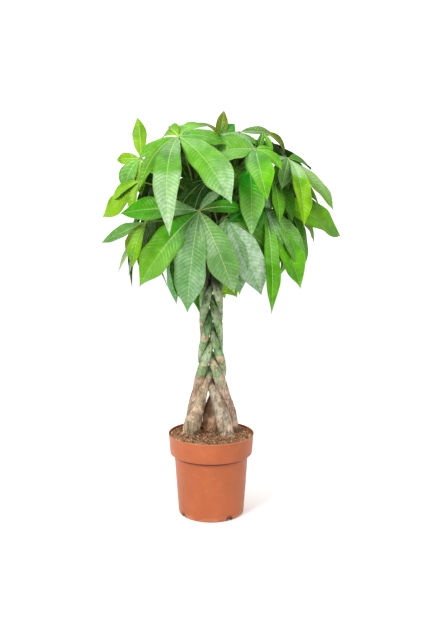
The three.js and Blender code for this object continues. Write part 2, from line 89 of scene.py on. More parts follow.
# Marks on the pot, each from where there is none of it to where there is most: painted shade under the
# collar, a lighter top of the rim, scuffs on the foot and darkening round the drainage notches
COLLAR_SHADE_HEIGHTS = (COLLAR_FOOT_HEIGHT - 9.5, COLLAR_FOOT_HEIGHT - 4.8)
COLLAR_SHADE_RADII = (BODY_TOP_RADIUS + 3.5, BODY_TOP_RADIUS + 1.5)
RIM_LIGHTENING = (POT_HEIGHT - 2, POT_HEIGHT - 0.4)
SCUFFED_FOOT = (16, 2)
NOTCH_DARKENING_REACH = (11.5, 7.5)
NOTCH_DARKENING_HEIGHT = 4

# Soil: its bed, and half sizes along, across and up of what is strewn over it
SOIL_HEIGHT = 196.0
SOIL_DEPTH = 24.0
SOIL_RIM_GAP = 0.5
SOIL_SIDES = 150
SOIL_RINGS = 56
CRUMBS = 1500
FIBRES = 420
CHIPS = 260
CRUMB_SIZES = (0.9, 2.6)
BIG_CRUMB = 2.1
LONG_SIZES = {
    "fibre": ((5.0, 12.0), (0.4, 0.9), (0.3, 0.7)),
    "chip": ((2.5, 6.0), (1.6, 3.4), (0.6, 1.2)),
}
CRUMB_REACH = 97.5
STEM_CLEARANCE = 15
STEM_HEAP = 25
SHARE_AT_STEMS = 0.25
BED_SEED = 11
CRUMB_SEED = 2024
BED_TINT = (0.48, 0.275, 0.155)
SOIL_TINTS = [
    (0.38, 0.215, 0.122), BED_TINT, (0.57, 0.355, 0.215), (0.7, 0.49, 0.31),
    (0.62, 0.35, 0.175), (0.18, 0.1, 0.062), (0.76, 0.62, 0.46), (0.5, 0.245, 0.125),
]

# Plait and shoots, as in the frame
SPLAY_HEIGHT = 190.0
WAIST_HEIGHT = 353.0
PLAIT_TOP = 640.0
PLAIT_WIDTH = 20.0
PLAIT_DEPTH = 17.5
PLAIT_RATE = 1.03
WAIST_SWELL = 0.3
SWELL_HEIGHT = 77.0
STRAND_RADIUS = 9.8
STRAND_FOOT_RADIUS = 18.5
STRAND_STEPS = 27
STRAND_GAP = 0.25
FEET = [(-51, -12), (-46, 38), (38, -20), (50, 30), (-2, 29)]
WAIST_PHASES = [0, 288, 216, 144, 72]
SHOOT_TOPS = [(-48, -48, 846), (-50, 42, 862), (28, -62, 808), (70, -6, 860), (16, 50, 872)]
SHOOT_TIP_RADIUS = 3.6
SHOOT_LIFT = 20.0

# How finely the stems are made, and how much thicker they are where they press on each other
STEM_SIDES = 32
STEM_RING_STEP = 3.2
STEM_DEPTH = 6
SHOOT_RINGS = 70
SHOOT_CAP = 2.4
PLAIT_PRESS = 1.0
WAIST_PRESS = 2.8
PRESSED_MIDDLE = 315
PRESSED_REACH = 52
PLAIT_PRESS_ENDS = (600, 640)
FOOT_PRESS = [3.4, 1.6, 1.2, 1.6, 4.6]
FOOT_PRESS_STARTS = (188, 225)
FOOT_PRESS_ENDS = (310, 240)
# Reach in millimetres and heights of the painted shade in the creases between stems
CREASE_SHADE_DEPTH = 3.4
CREASE_SHADE_ENDS = (680, 640)
OLD_BARK_FROM = (700, 420)
SCAR_RINGS_FROM = (380, 620)
SCAR_RING_SPACING = 34

# Bark: each stem's tint, one stem's peeled side as a share of a turn, and heights where looks change
STEM_TINTS = [(0.42, 0.33, 0.22), (0.52, 0.36, 0.26), (0.44, 0.38, 0.29), (0.55, 0.4, 0.31),
              (0.66, 0.48, 0.33)]
PEELED_STRAND = 4
# Tint of the peeled side: pale bark, made paler still as painted light where other stems shade it
PEELED_AND_LIT_TINT = (0.98, 0.66, 0.42)
PEELED_SIDE = 0.78
PEELED_FROM = (250, 225)
FLAKES_FROM = (252, 206)
GREEN_FROM = (338, 372)
SPOTS_FROM = (420, 330)
SCARS_FROM = (560, 390)
SHADED_FROM = (540, 580)
FRESH_FROM = (640, 780)

# Leaves
PETIOLE_ROOT_RADIUS = 2.2
PETIOLE_TIP_RADIUS = 1.6
PETIOLE_CLIMB = 0.45
PETIOLE_LOWEST_HUB = 600.0
PETIOLE_ARCH = 0.14
PETIOLE_RINGS = 30
PETIOLE_SIDES = 12
KNOB_RADIUS = 4.6
KNOB_RINGS = 9
KNOB_SIDES = 14
BLADE_RATIO = 0.31
BLADE_FOLD = 0.22
BLADE_LIFT = 12.0
BLADE_THICKNESS = 0.7
VEIN_SPACING = 7.6
WAVY_LENGTH = 150
GRID_STEP = 2.3
FEWEST_ROWS = 44
GRID_ACROSS = 12
LEAF_SEED = 4001
LEAF_SEED_STEP = 17

# Outlines of a leaflet: how far along it, and how wide there against its widest place
BROAD = ((0, 0), (0.04, 0.07), (0.1, 0.25), (0.25, 0.62), (0.4, 0.85), (0.55, 0.97), (0.66, 1),
         (0.76, 0.87), (0.85, 0.58), (0.92, 0.28), (0.97, 0.08), (1, 0))
SLIM = ((0, 0), (0.04, 0.09), (0.1, 0.3), (0.25, 0.7), (0.4, 0.94), (0.5, 1), (0.62, 0.94),
        (0.75, 0.72), (0.86, 0.43), (0.93, 0.21), (0.97, 0.08), (1, 0))

# Leaf tones as linear colour of the upper face, and how much waxy bloom with painted sheen lies on it
TONES = {
    # pale: brightened, as painted light, for leaflets that lie in shade
    "pale": ((0.33, 0.64, 0.03), 0.05),
    "lime": ((0.195, 0.4, 0.001), 0.03),
    "bright": ((0.115, 0.37, 0.002), 0.05),
    "vivid": ((0.16, 0.45, 0.001), 0.02),
    "fresh": ((0.052, 0.27, 0.001), 0.02),
    "grass": ((0.09, 0.3, 0.002), 0.04),
    "mid": ((0.055, 0.24, 0.002), 0.06),
    "deep": ((0.008, 0.22, 0.001), 0.03),
    # emerald: brightened, as painted light, for a leaflet in the shadow of another
    "emerald": ((0.008, 0.43, 0.002), 0.03),
    "shade": ((0.005, 0.068, 0.003), 0),
    "bloom_and_sheen": ((0.05, 0.22, 0.022), 0.6),
    "olive": ((0.11, 0.165, 0.001), 0.03),
    "dull": ((0.095, 0.26, 0.014), 0.33),
}


@dataclass
class Blade:
    """One leaflet: its angle from the leaf's downward middle, its length, tone and width against length."""

    angle: float
    length: float
    tone: str
    ratio: float = BLADE_RATIO
    # The tone that it fades to, and stops of wax with painted sheen: how far along, then how much, or how
    # much left and right
    tip: str = None
    wax_and_sheen: list = None
    # Its outline, and the share of its length that is there
    outline: tuple = BROAD
    trim: float = 1
    # Degrees that its tip lies below the leaf's face, and how strongly it hangs
    dip: float = None
    sag: float = None
    # Degrees that it sets out above the leaf's face, and beside its angle
    lift: float = BLADE_LIFT
    bend: float = 0
    # Degrees that it is rolled about its midrib, how high its halves fold, and its share of the full waves
    roll: float = 0
    fold: float = BLADE_FOLD
    calm: float = None


@dataclass
class Leaf:
    """A hand-shaped leaf: its hub, its turn about Z, and how far its face leans up."""

    hub: tuple
    turn: float
    lean: float
    blades: list
    # Dip and sag of its leaflets where they have none of their own, and how high its stalk arches
    dip: float = 10
    sag: float = 0.2
    arch: float = PETIOLE_ARCH

    def __post_init__(self):
        for blade in self.blades:
            blade.dip = self.dip if blade.dip is None else blade.dip
            blade.sag = self.sag if blade.sag is None else blade.sag


# Leaves that can be told apart from the front
FRONT_LEAVES = [
    Leaf((-70, -150, 898), -8, 52, dip=8, sag=0.45, blades=[
        Blade(1, 243, "mid", 0.245, bend=-10, outline=SLIM, tip="grass", wax_and_sheen=[
            (0, 0.4, 0.5), (0.26, 0.5), (0.34, 0.2), (0.49, 0.1), (0.54, 0.75), (1, 1.3)]),
        Blade(43, 211, "bright", 0.36, sag=0.22, lift=6, wax_and_sheen=[
            (0, 0.05, 0.3), (0.3, 0.05, 0.4), (0.42, 0.02, 0.1), (0.62, 0.1, 0.4), (0.8, 0.6, 1.1),
            (1, 1.3)]),
        Blade(95, 102, "fresh", 0.5, sag=0.1, fold=0.06, tip="grass"),
        Blade(154, 118, "bright", 0.36, sag=0.2, calm=0.1, fold=0.04),
        Blade(-176, 84, "lime", 0.7, sag=0.15, trim=0.9, calm=0.1, fold=0.04),
        Blade(-148, 92, "lime", 0.48, sag=0.4, lift=18, calm=0.1, fold=0.04, roll=-24),
        Blade(-70, 99, "grass", 0.42, sag=0.2, lift=-10), Blade(-42, 148, "grass", 0.2),
    ]),
    Leaf((-25, -190, 740), -5, 22, dip=12, sag=0.12, arch=0.5, blades=[
        Blade(-44, 206, "deep", 0.34, tip="grass", wax_and_sheen=[(0, 0, 0.4), (0.4, 0, 0.15), (1, 0.05, 0.2)]),
        Blade(-7, 217, "bloom_and_sheen", wax_and_sheen=[
            (0, 0.5, 0.4), (0.5, 0.6, 0.3), (0.7, 0.4, 0.8), (0.88, 0.6, 0.7), (1, 0)]),
        Blade(27, 191, "bloom_and_sheen", 0.34, wax_and_sheen=[
            (0, 0.8, 0.3), (0.3, 0.8, 0.2), (0.5, 0.9, 0.4), (0.58, 0.4, 0.2), (0.8, 0.4, 0.3), (1, 0.8)]),
        Blade(105, 96, "shade", tip="deep"), Blade(146, 70, "bloom_and_sheen"),
        Blade(-93, 183, "fresh", 0.29, sag=0, wax_and_sheen=[(0, 0.6, 0.5), (0.38, 0.4, 0.6), (0.45, 0)]),
    ]),
    Leaf((95, -140, 872), 8, 55, dip=5, sag=0.3, blades=[
        Blade(4, 144, "fresh", 0.4, bend=-10, outline=SLIM, tip="bright", wax_and_sheen=[
            (0, 0.4, 0.1), (0.55, 0.3, 0), (1, 0)]),
        Blade(-97, 90, "grass", 0.8, sag=0.08, bend=15, roll=-18, wax_and_sheen=[(0, 0.15, 0.2), (1, 0.2, 0.3)]),
        Blade(-140, 105, "bloom_and_sheen", 0.36, sag=0), Blade(-25, 75, "mid"), Blade(55, 75, "bright", 0.42),
        Blade(120, 55, "bright"),
    ]),
    Leaf((175, -60, 858), 40, 55, dip=5, sag=0.35, arch=0, blades=[
        Blade(30, 156, "lime", 0.36, lift=-9, wax_and_sheen=[(0.6, 0.1, 0.7), (1, 0, 0.2)]),
        Blade(-24, 202, "vivid", 0.24, tip="lime", wax_and_sheen=[(0.38, 1), (0.46, 0)]),
        Blade(-48, 110, "mid", wax_and_sheen=[(0, 0.3)]),
        Blade(-87, 62, "bloom_and_sheen", sag=0.1), Blade(94, 84, "mid", 0.6, sag=0.3, dip=0, lift=0),
    ]),
    Leaf((30, -165, 725), 8, 22, dip=12, sag=0.12, blades=[
        Blade(28, 184, "bloom_and_sheen", 0.37, wax_and_sheen=[(0, 0.6, 1), (0.25, 1.1, 1.25), (0.8, 1.1, 1.25), (1, 0.9)]),
        Blade(11, 168, "bloom_and_sheen"), Blade(-20, 110, "bloom_and_sheen"), Blade(60, 125, "mid"),
        Blade(125, 75, "bloom_and_sheen"),
    ]),
    Leaf((83, -122, 842), 5, 40, dip=20, sag=0.3, blades=[
        # Brightened by the emerald tone as painted light, against the shadow of the leaflet above
        Blade(-6, 168, "emerald", 0.34, tip="bright", outline=SLIM, wax_and_sheen=[
            (0, 0), (0.45, 0.1, 0.05), (0.7, 0.3), (1, 0.8)]),
        Blade(62, 66, "mid", 0.46), Blade(-50, 100, "mid"),
    ]),
    Leaf((115, -130, 755), 25, 30, dip=12, sag=0.15, blades=[
        Blade(84, 261, "vivid", 0.32, sag=0.05, dip=18, lift=2),
        Blade(33, 176, "bright", 0.3, lift=5, wax_and_sheen=[(0, 0, 0.1), (0.4, 0.3, 0.4), (1, 0.2, 0.3)]),
        Blade(23, 203, "grass", 0.35, lift=-2, tip="bright"),
        Blade(-4, 244, "grass", 0.15, lift=4, wax_and_sheen=[(0.5, 0.1, 0.2), (0.6, 0)]),
        Blade(-33, 150, "deep"), Blade(-70, 100, "deep"), Blade(10, 140, "bloom_and_sheen", 0.2),
    ]),
    Leaf((135, -95, 815), 25, 45, sag=0.3, blades=[
        Blade(80, 140, "lime", 0.36, sag=0.22, wax_and_sheen=[(0, 0.1, 0.4), (1, 0)]),
        Blade(-10, 122, "bright", 0.25, dip=2), Blade(16, 114, "mid"), Blade(-55, 90, "deep"),
    ]),
    Leaf((-160, -60, 858), -20, 15, dip=0, blades=[
        Blade(-168, 100, "lime", 0.36, sag=-0.1, bend=-14, outline=SLIM),
        Blade(-92, 62, "lime", 0.44, sag=0.05),
        Blade(-28, 80, "bright", 0.55, bend=-20, wax_and_sheen=[(0, 0.4, 0.2), (1, 0.2, 0.4)]),
        Blade(5, 85, "lime"), Blade(60, 70, "bright"),
    ]),
    Leaf((-160, -90, 805), -30, 35, blades=[
        Blade(-60, 124, "lime", 0.5, lift=-14, bend=12, fold=0.05), Blade(-4, 75, "lime"),
        Blade(-75, 88, "lime", 0.38, fold=0.1),
    ]),
    Leaf((-145, -110, 715), -30, 30, blades=[
        Blade(-79, 142, "grass", 0.26, sag=0.1, lift=-4, bend=8, outline=SLIM, wax_and_sheen=[
            (0, 0.3, 0.4), (1, 0.3, 0.2)]),
        Blade(-38, 85, "olive"), Blade(-11, 105, "lime", 0.36),
        # Curled leaflets in shade, brightened by the pale tone as painted light
        Blade(-32, 128, "pale", 0.1, lift=0, roll=-80, wax_and_sheen=[(0, 1.3)]),
        Blade(-14, 125, "pale", 0.1, lift=0, roll=-80, wax_and_sheen=[(0, 1.3)]),
        Blade(35, 161, "dull", 0.15, roll=70),
    ]),
    Leaf((-88, -60, 663), -10, 25, blades=[
        Blade(7, 137, "deep", 0.28, roll=30, wax_and_sheen=[(0, 0.6), (1, 0.5)]),
        Blade(20, 150, "shade"),
    ]),
    Leaf((-25, 60, 650), 0, 20, blades=[
        # Brightened by the pale tone as painted light, though they lie in shade
        Blade(31, 137, "pale", 0.42, roll=-20), Blade(44, 150, "pale", 0.46, lift=-10),
        Blade(-2, 158, "mid"),
    ]),
    Leaf((20, 30, 905), 0, 15, dip=-5, sag=0, blades=[
        Blade(172, 76, "olive", 0.38, outline=SLIM),
        Blade(-134, 86, "olive", 0.34, sag=0.1, dip=10, lift=40, bend=-34, roll=55),
        Blade(140, 56, "deep", 0.55),
    ]),
    Leaf((65, 10, 924), 20, 48, dip=0, blades=[
        Blade(92, 92, "dull", 0.36, sag=0.05), Blade(40, 66, "mid"), Blade(-70, 62, "mid"),
    ]),
    Leaf((120, -10, 920), 35, 45, sag=0.3, blades=[
        Blade(60, 78, "olive", 0.42, lift=24), Blade(0, 62, "bright"), Blade(-40, 50, "mid"),
    ]),
]

# Whorls round the sides and back, and the shaded ones inside: height, radius, lean, length and turns
WHORLS = [
    (885, 108, 62, 150, [112, 158, 204, 250]),
    (822, 148, 42, 168, [82, 119, 156, 193, 230, 267]),
    (748, 160, 28, 176, [66, 104, 141, 178, 215, 252]),
    (884, 46, 76, 96, [30, 150, 268]),
    (790, 62, 40, 112, [-12, 150]),
    (690, 96, 30, 118, [38, 205]),
]
WHORL_ANGLES = [-18, 20, -56, 58, -98, 102]
WHORL_RATIO = 0.36
WHORL_SAG = 0.25
WHORL_SEED = 20611
WHORL_AXIS = 10.0
WHORL_STAGGER = (11, 15)
WHORL_TONES = ["mid", "bright", "bloom_and_sheen", "grass", "deep", "bright", "mid", "dull", "lime", "bloom_and_sheen", "deep"]
SHADED_RADIUS = 100
SHADED_TONES = ["shade", "shade", "deep", "shade", "shade"]

# Ways a blade may be bent clear in the frame: turns and lifts, each to both sides, by share of its length
BLADE_TURNS_AND_LIFTS = {
    1: [(0, 0), (0, 6), (5, 0), (5, 6), (0, 12), (10, 0)],
    0.92: [(8, 12), (0, 20)],
    0.8: [(0, 0), (0, 12), (12, 0), (0, 24)],
    0.64: [(0, 0), (0, 14), (14, 14), (0, 30)],
    0.5: [(0, 0), (0, 20), (16, 0)],
}
# Ways a stalk may be bent clear in the frame: shift of its root, and extra arch
PETIOLE_BENDS = [
    (0, 0), (12, 0), (-12, 0), (0, 0.12), (0, -0.12), (24, 0), (-24, 0), (12, 0.2), (-12, 0.2), (36, 0.1),
    (-36, -0.1), (48, 0.2), (-48, 0.2), (0, 0.35), (24, 0.35), (-24, 0.35),
]
# How far along a stalk it is looked for in the frame, and how near a corner has to lie in millimetres
CHECKED_SHARE = 0.75
SAME_POINT = 0.15


# Small helpers

def unit(rows):
    rows = np.asarray(rows, float)
    return rows / np.linalg.norm(rows, axis=-1, keepdims=True)


def smoothstep(low, high, values):
    share = np.clip((values - low) / (high - low), 0, 1)
    return share * share * (3 - 2 * share)


def park_miller(seed):
    """Endless even draws from 0 to 1."""
    state = seed
    while True:
        state = (state * 16807) % 2147483647
        yield state / 2147483647


def rough(points, scale, depth=3):
    """Smooth noise of about -1 to 1 at each point, given in millimetres."""
    return np.array([noise.fractal(Vector(p) * scale, 0.6, 2.1, depth) for p in points])


def circle(sides):
    """Unit directions evenly round Z."""
    angles = 2 * pi * np.arange(sides) / sides
    return np.stack([np.cos(angles), np.sin(angles), np.zeros(sides)], 1)


def grid_faces(rows, columns, wrap=False):
    index = np.arange(rows * columns).reshape(rows, columns)
    if wrap:
        index = np.hstack([index, index[:, :1]])
    return np.stack([index[:-1, :-1], index[:-1, 1:], index[1:, 1:], index[1:, :-1]], -1).reshape(-1, 4)


def tube(rings, start, end, flip=False):
    """Points and faces of a skin over a row of rings, closed by one point at either end."""
    rows, sides = rings.shape[:2]
    first, last = rows * sides, (rows - 1) * sides
    faces = list(grid_faces(rows, sides, wrap=True))
    for side in range(sides):
        after = (side + 1) % sides
        faces.append((first, after, side))
        faces.append((first + 1, last + side, last + after))
    if flip:
        faces = [face[::-1] for face in faces]
    return np.concatenate([rings.reshape(-1, 3), [start, end]]), faces


def new_object(name, data, place=(0, 0, 0), turn=(0, 0, 0)):
    made = bpy.data.objects.new(name, data)
    made.location = place
    made.rotation_euler = turn
    bpy.context.scene.collection.objects.link(made)
    return made


class Surface:
    """Points, faces and named point values gathered for one mesh."""

    def __init__(self):
        self.points = []
        self.faces = []
        self.values = {}

    def add(self, points, faces, values):
        first = sum(map(len, self.points))
        self.points.append(points)
        self.faces += [[int(corner) + first for corner in face] for face in faces]
        for name, rows in values.items():
            self.values.setdefault(name, []).append(np.broadcast_to(rows, points.shape))

    def build(self, name, material, replaced=None):
        mesh = bpy.data.meshes.new(name)
        mesh.from_pydata((np.concatenate(self.points) * MM).tolist(), [], self.faces)
        for key, rows in self.values.items():
            layer = mesh.attributes.new(key, "FLOAT_VECTOR", "POINT")
            layer.data.foreach_set("vector", np.concatenate(rows).astype(np.float32).ravel())
        mesh.shade_smooth()
        mesh.materials.append(material)
        piece = new_object(name, mesh)
        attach(piece, "root")
        if replaced:
            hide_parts(replaced)
        return piece


# Node materials

def put(socket, value):
    """Links a socket, or sets it to a number, a direction or a colour."""
    if isinstance(value, bpy.types.NodeSocket):
        socket.id_data.links.new(value, socket)
    elif socket.type == "RGBA":
        socket.default_value = (*value, 1)
    else:
        socket.default_value = value


def node(kind, inputs, tree=None, **settings):
    """Outputs of a new node, made in the tree given or else in that of its first linked input."""
    if tree is None:
        tree = next(value.id_data for value in inputs.values() if isinstance(value, bpy.types.NodeSocket))
    made = tree.nodes.new("ShaderNode" + kind)
    for key, value in settings.items():
        setattr(made, key, value)
    for key, value in inputs.items():
        put(made.inputs[key], value)
    return made.outputs


def arithmetic(operation, first, second):
    return node("Math", {0: first, 1: second}, operation=operation)[0]


def times(first, second):
    return arithmetic("MULTIPLY", first, second)


def vectors(operation, *values):
    return node("VectorMath", dict(enumerate(values)), operation=operation)


def split(vector):
    return node("SeparateXYZ", {"Vector": vector})


def stretched(where, scale):
    return node("Mapping", {"Vector": where, "Scale": scale})[0]


def span(value, low, high, to_low=0, to_high=1):
    """Turns smoothly from to_low to to_high while the value goes from low to high."""
    inputs = {"Value": value, "From Min": low, "From Max": high, "To Min": to_low, "To Max": to_high}
    return node("MapRange", inputs, interpolation_type="SMOOTHSTEP")["Result"]


def mix(factor, first, second, blend="MIX"):
    return node("Mix", {0: factor, 6: first, 7: second}, data_type="RGBA", blend_type=blend)[2]


def bump(height, distance, strength, under=None):
    """Relief as high as distance in millimetres, over the relief under it."""
    inputs = {"Height": height, "Distance": distance * MM, "Strength": strength}
    if under is not None:
        inputs["Normal"] = under
    return node("Bump", inputs)[0]


class Shade:
    """A node material, with what its nodes start from."""

    def __init__(self, name):
        self.material = bpy.data.materials.new(name)
        self.material.use_nodes = True
        self.tree = self.material.node_tree

    def attribute(self, name):
        return node("Attribute", {}, self.tree, attribute_name=name)["Vector"]

    def place(self, scale=(1, 1, 1)):
        return stretched(node("TexCoord", {}, self.tree)["Object"], scale)

    def noise(self, scale, detail=3, roughness=0.55, where=None):
        if where is None:
            where = self.place()
        inputs = {"Vector": where, "Scale": scale, "Detail": detail, "Roughness": roughness}
        return node("TexNoise", inputs)["Fac"]

    def finish(self, **inputs):
        shader = self.tree.nodes["Principled BSDF"]
        for key, value in inputs.items():
            put(shader.inputs[key.replace("_", " ")], value)
        return self.material


def leaf_green(shade, nearest, inner, bloom_and_sheen):
    """Green of a leaflet, with painted shade in the furrows of its veins and a painted highlight where it
    puffs up between them.
    """
    tone = shade.attribute("tone")
    cloud = shade.noise(22, 4)
    darker = mix(1, tone, (0.58, 0.7, 0.5), "MULTIPLY")
    green = mix(span(cloud, 0.36, 0.6), darker, tone)
    # Painted shade: darker in the furrows along the veins, more so where there is more wax
    furrow_shade = times(span(nearest, 0.2, 0.03), span(cloud, 0.4, 0.6, 0.1, 0.85))
    furrow_shade = times(furrow_shade, span(bloom_and_sheen, 0, 0.4, 0.55, 1))
    furrow_shade_colour = mix(1, green, (0.56, 0.7, 0.5), "MULTIPLY")
    green = mix(times(furrow_shade, inner), green, furrow_shade_colour)
    # Painted highlight: paler patches where the skin puffs up between the veins
    puff_highlight = times(span(nearest, 0.02, 0.4, 0.3, 1), span(shade.noise(52), 0.48, 0.62))
    return mix(times(puff_highlight, 0.24), green, mix(0.3, green, (0.66, 0.88, 0.45)))


def with_wax_and_sheen(green, mottle, nearest, bloom_and_sheen):
    """Waxy bloom with painted sheen over the green, thinner along the veins."""
    # Painted sheen: the wax's pale grey-green also stands for light caught on the glossy skin
    wax_and_sheen_share = times(bloom_and_sheen, span(mottle, 0.3, 0.7, 0.42, 0.86))
    hatch = times(span(nearest, 0.24, 0), span(bloom_and_sheen, 0.95, 1.25, 0.5, 0.24))
    wax_and_sheen_share = times(wax_and_sheen_share, arithmetic("SUBTRACT", 1, hatch))
    return mix(wax_and_sheen_share, green, mix(0.75, green, (0.47, 0.56, 0.47)))


def leaf_material():
    shade = Shade("leaf_skin")
    phase, beside, rib = split(shade.attribute("vein"))
    bloom_and_sheen, under, age = split(shade.attribute("skin"))
    mottle = shade.noise(110, 4)
    nearest = arithmetic("PINGPONG", phase, 0.5)
    inner = span(beside, 1, 0.8)
    vein = times(span(nearest, 0.11, 0), inner)
    midrib = span(rib, 0.95, 0.35)
    colour = with_wax_and_sheen(leaf_green(shade, nearest, inner, bloom_and_sheen), mottle, nearest, bloom_and_sheen)
    colour = mix(times(vein, 0.22), colour, mix(0.5, colour, (0.34, 0.56, 0.16)))
    colour = mix(span(beside, 0.94, 1, 0, 0.35), colour, (0.3, 0.48, 0.03))
    colour = mix(times(midrib, 0.75), colour, (0.44, 0.6, 0.26))
    # Undersides: painted shade, dark green where there is little wax, pale grey-green where the wax is
    # thick
    underside_tone = mix(span(bloom_and_sheen, 0.95, 1.25), (0.035, 0.075, 0.014), (0.8, 0.82, 0.8))
    colour = mix(under, colour, mix(0.68, colour, underside_tone))
    colour = mix(age, colour, mix(0.75, colour, (0.3, 0.34, 0.03)))
    gloss = arithmetic("ADD", span(mottle, 0.3, 0.7, 0.34, 0.46), times(under, 0.22))
    relief = bump(times(span(nearest, 0, 0.42), inner), 0.5, 0.55)
    relief = bump(midrib, 0.5, 0.6, relief)
    relief = bump(shade.noise(900, 2), 0.12, 0.35, relief)
    return shade.finish(Base_Color=colour, Roughness=gloss, Normal=relief, Specular_IOR_Level=0.35,
                        Specular_Tint=(0.8, 1, 0.45))


def bare_wood(shade, height, streak, blotch, patch):
    """Brown bark of the lower stems, with pale flakes at their feet."""
    tint = shade.attribute("tint")
    dark = mix(1, tint, (0.42, 0.39, 0.36), "MULTIPLY")
    wood = mix(span(streak, 0.36, 0.6), dark, tint)
    wood = mix(span(patch, 0.47, 0.38, 0, 0.6), wood, (0.25, 0.15, 0.085))
    wood = mix(span(blotch, 0.53, 0.64, 0, 0.65), wood, (0.72, 0.53, 0.39))
    flakes = times(span(height, *FLAKES_FROM), span(blotch, 0.46, 0.57))
    return mix(times(flakes, 0.72), wood, (0.9, 0.67, 0.49))


def green_skin(height, streak, blotch, patch, damp):
    """Green skin of the upper stems, mossy where it is damp, with tan scars."""
    streaks = span(streak, 0.36, 0.62)
    green = mix(streaks, (0.06, 0.135, 0.042), (0.3, 0.45, 0.17))
    silver = mix(span(blotch, 0.42, 0.6, 0, 0.85), green, (0.5, 0.56, 0.4))
    moss = mix(streaks, (0.028, 0.12, 0.024), (0.14, 0.34, 0.095))
    skin = mix(span(damp, 0.46, 0.58, 0, 0.65), silver, moss)
    scar = mix(span(streak, 0.3, 0.7), (0.4, 0.27, 0.19), (0.74, 0.52, 0.38))
    return mix(times(span(patch, 0.565, 0.6), span(height, *SCARS_FROM, 0.2, 0.85)), skin, scar)


def bark_material():
    shade = Shade("bark")
    height, strand, crease_shade = split(shade.attribute("bark"))
    own = vectors("MULTIPLY_ADD", strand, (0.37, 0.21, 0.53), shade.place())[0]
    along = stretched(own, (1, 1, 0.3))
    streak = shade.noise(170, 6, 0.62, along)
    blotch = shade.noise(52, 5, 0.62, own)
    patch = shade.noise(21, 3, 0.5, stretched(own, (0.8, 0.8, 1.7)))
    wood = bare_wood(shade, height, streak, blotch, patch)
    skin = green_skin(height, streak, blotch, patch, shade.noise(13, 3, 0.5, own))
    edge = arithmetic("ADD", height, span(blotch, 0.2, 0.8, -60, 60))
    colour = mix(span(edge, *GREEN_FROM), wood, skin)
    fresh = mix(span(streak, 0.3, 0.7), (0.04, 0.09, 0.02), (0.1, 0.18, 0.05))
    colour = mix(span(height, *FRESH_FROM), colour, fresh)
    colour = mix(span(height, *SHADED_FROM, 0, 0.92), colour, (0.014, 0.012, 0.007))
    flecks = node("TexVoronoi", {"Vector": shade.place((1, 1, 1.6)), "Scale": 190})["Distance"]
    spots = span(flecks, 0.2, 0.08)
    colour = mix(times(spots, span(height, *SPOTS_FROM, 0.25, 0.8)), colour, (0.86, 0.74, 0.56))
    cracks = span(shade.noise(300, 5, 0.7, along), 0.45, 0.36)
    colour = mix(times(cracks, 0.5), colour, (0.06, 0.046, 0.03))
    # Painted shade in the creases where the stems press together
    colour = mix(times(crease_shade, 0.88), colour, (0.03, 0.028, 0.014))
    relief = bump(streak, 1.8, 0.9)
    relief = bump(patch, 1.5, 0.6, relief)
    relief = bump(spots, 0.6, 0.6, relief)
    return shade.finish(Base_Color=colour, Normal=relief, Roughness=span(blotch, 0.3, 0.7, 0.58, 0.8))


def soil_material():
    shade = Shade("peat")
    tint = shade.attribute("tint")
    fine = shade.noise(420, 5, 0.7)
    dark = mix(1, tint, (0.42, 0.4, 0.38), "MULTIPLY")
    colour = mix(span(fine, 0.36, 0.62), dark, tint)
    colour = mix(span(shade.noise(75, 4, 0.6), 0.6, 0.4, 0, 0.45), colour, dark)
    relief = bump(fine, 1.2, 0.9)
    return shade.finish(Base_Color=colour, Normal=relief, Roughness=0.95, Specular_IOR_Level=0.25)


def plastic_material():
    shade = Shade("terracotta_plastic")
    millimetres = shade.place((1 / MM, 1 / MM, 1 / MM))
    height = split(millimetres)[2]
    radius = vectors("LENGTH", stretched(millimetres, (1, 1, 0)))["Value"]
    dust = shade.noise(46, 5, 0.65)
    drawn = shade.noise(60, 4, 0.6, shade.place((0.12, 0.12, 3.4)))
    streaks = shade.noise(17, 3, 0.5, shade.place((1, 1, 0.2)))
    colour = mix(span(shade.noise(9), 0.3, 0.7), (0.4, 0.106, 0.032), (0.47, 0.134, 0.046))
    colour = mix(span(streaks, 0.45, 0.7, 0, 0.22), colour, (0.3, 0.082, 0.024))
    colour = mix(span(dust, 0.52, 0.78, 0, 0.3), colour, (0.52, 0.2, 0.11))
    colour = mix(span(drawn, 0.55, 0.75, 0, 0.22), colour, (0.33, 0.09, 0.034))
    # Painted shade on the body just under the collar's overhang
    collar_shade = times(span(height, *COLLAR_SHADE_HEIGHTS), span(radius, *COLLAR_SHADE_RADII))
    colour = mix(times(collar_shade, 0.85), colour, (0.11, 0.022, 0.01))
    # Lighter along the top of the rim
    rim_lightening = times(span(height, *RIM_LIGHTENING), span(dust, 0.3, 0.6, 0.3, 0.8))
    colour = mix(rim_lightening, colour, (0.56, 0.26, 0.17))
    scuffed = times(span(height, *SCUFFED_FOOT), span(dust, 0.4, 0.6))
    colour = mix(times(scuffed, 0.5), colour, (0.6, 0.3, 0.2))
    # Darker in and round each drainage notch
    for x, y in notch_places():
        away = vectors("DISTANCE", millimetres, (x, y, NOTCH_DARKENING_HEIGHT))["Value"]
        notch_darkening = times(span(away, *NOTCH_DARKENING_REACH), span(dust, 0.3, 0.6, 0.5, 0.95))
        colour = mix(notch_darkening, colour, (0.06, 0.03, 0.016))
    gloss = span(dust, 0.3, 0.7, 0.34, 0.5)
    relief = bump(shade.noise(700), 0.12, 0.3, bump(drawn, 0.4, 0.35))
    return shade.finish(Base_Color=colour, Roughness=gloss, Normal=relief, IOR=1.49)


# Pot: one turned wall, finer than the frame's, with its drainage notches cut through the foot

def arc(centre, radius, start, end, steps):
    angles = np.radians(np.linspace(start, end, steps))
    return [(centre[0] + radius * cos(a), centre[1] + radius * sin(a)) for a in angles]


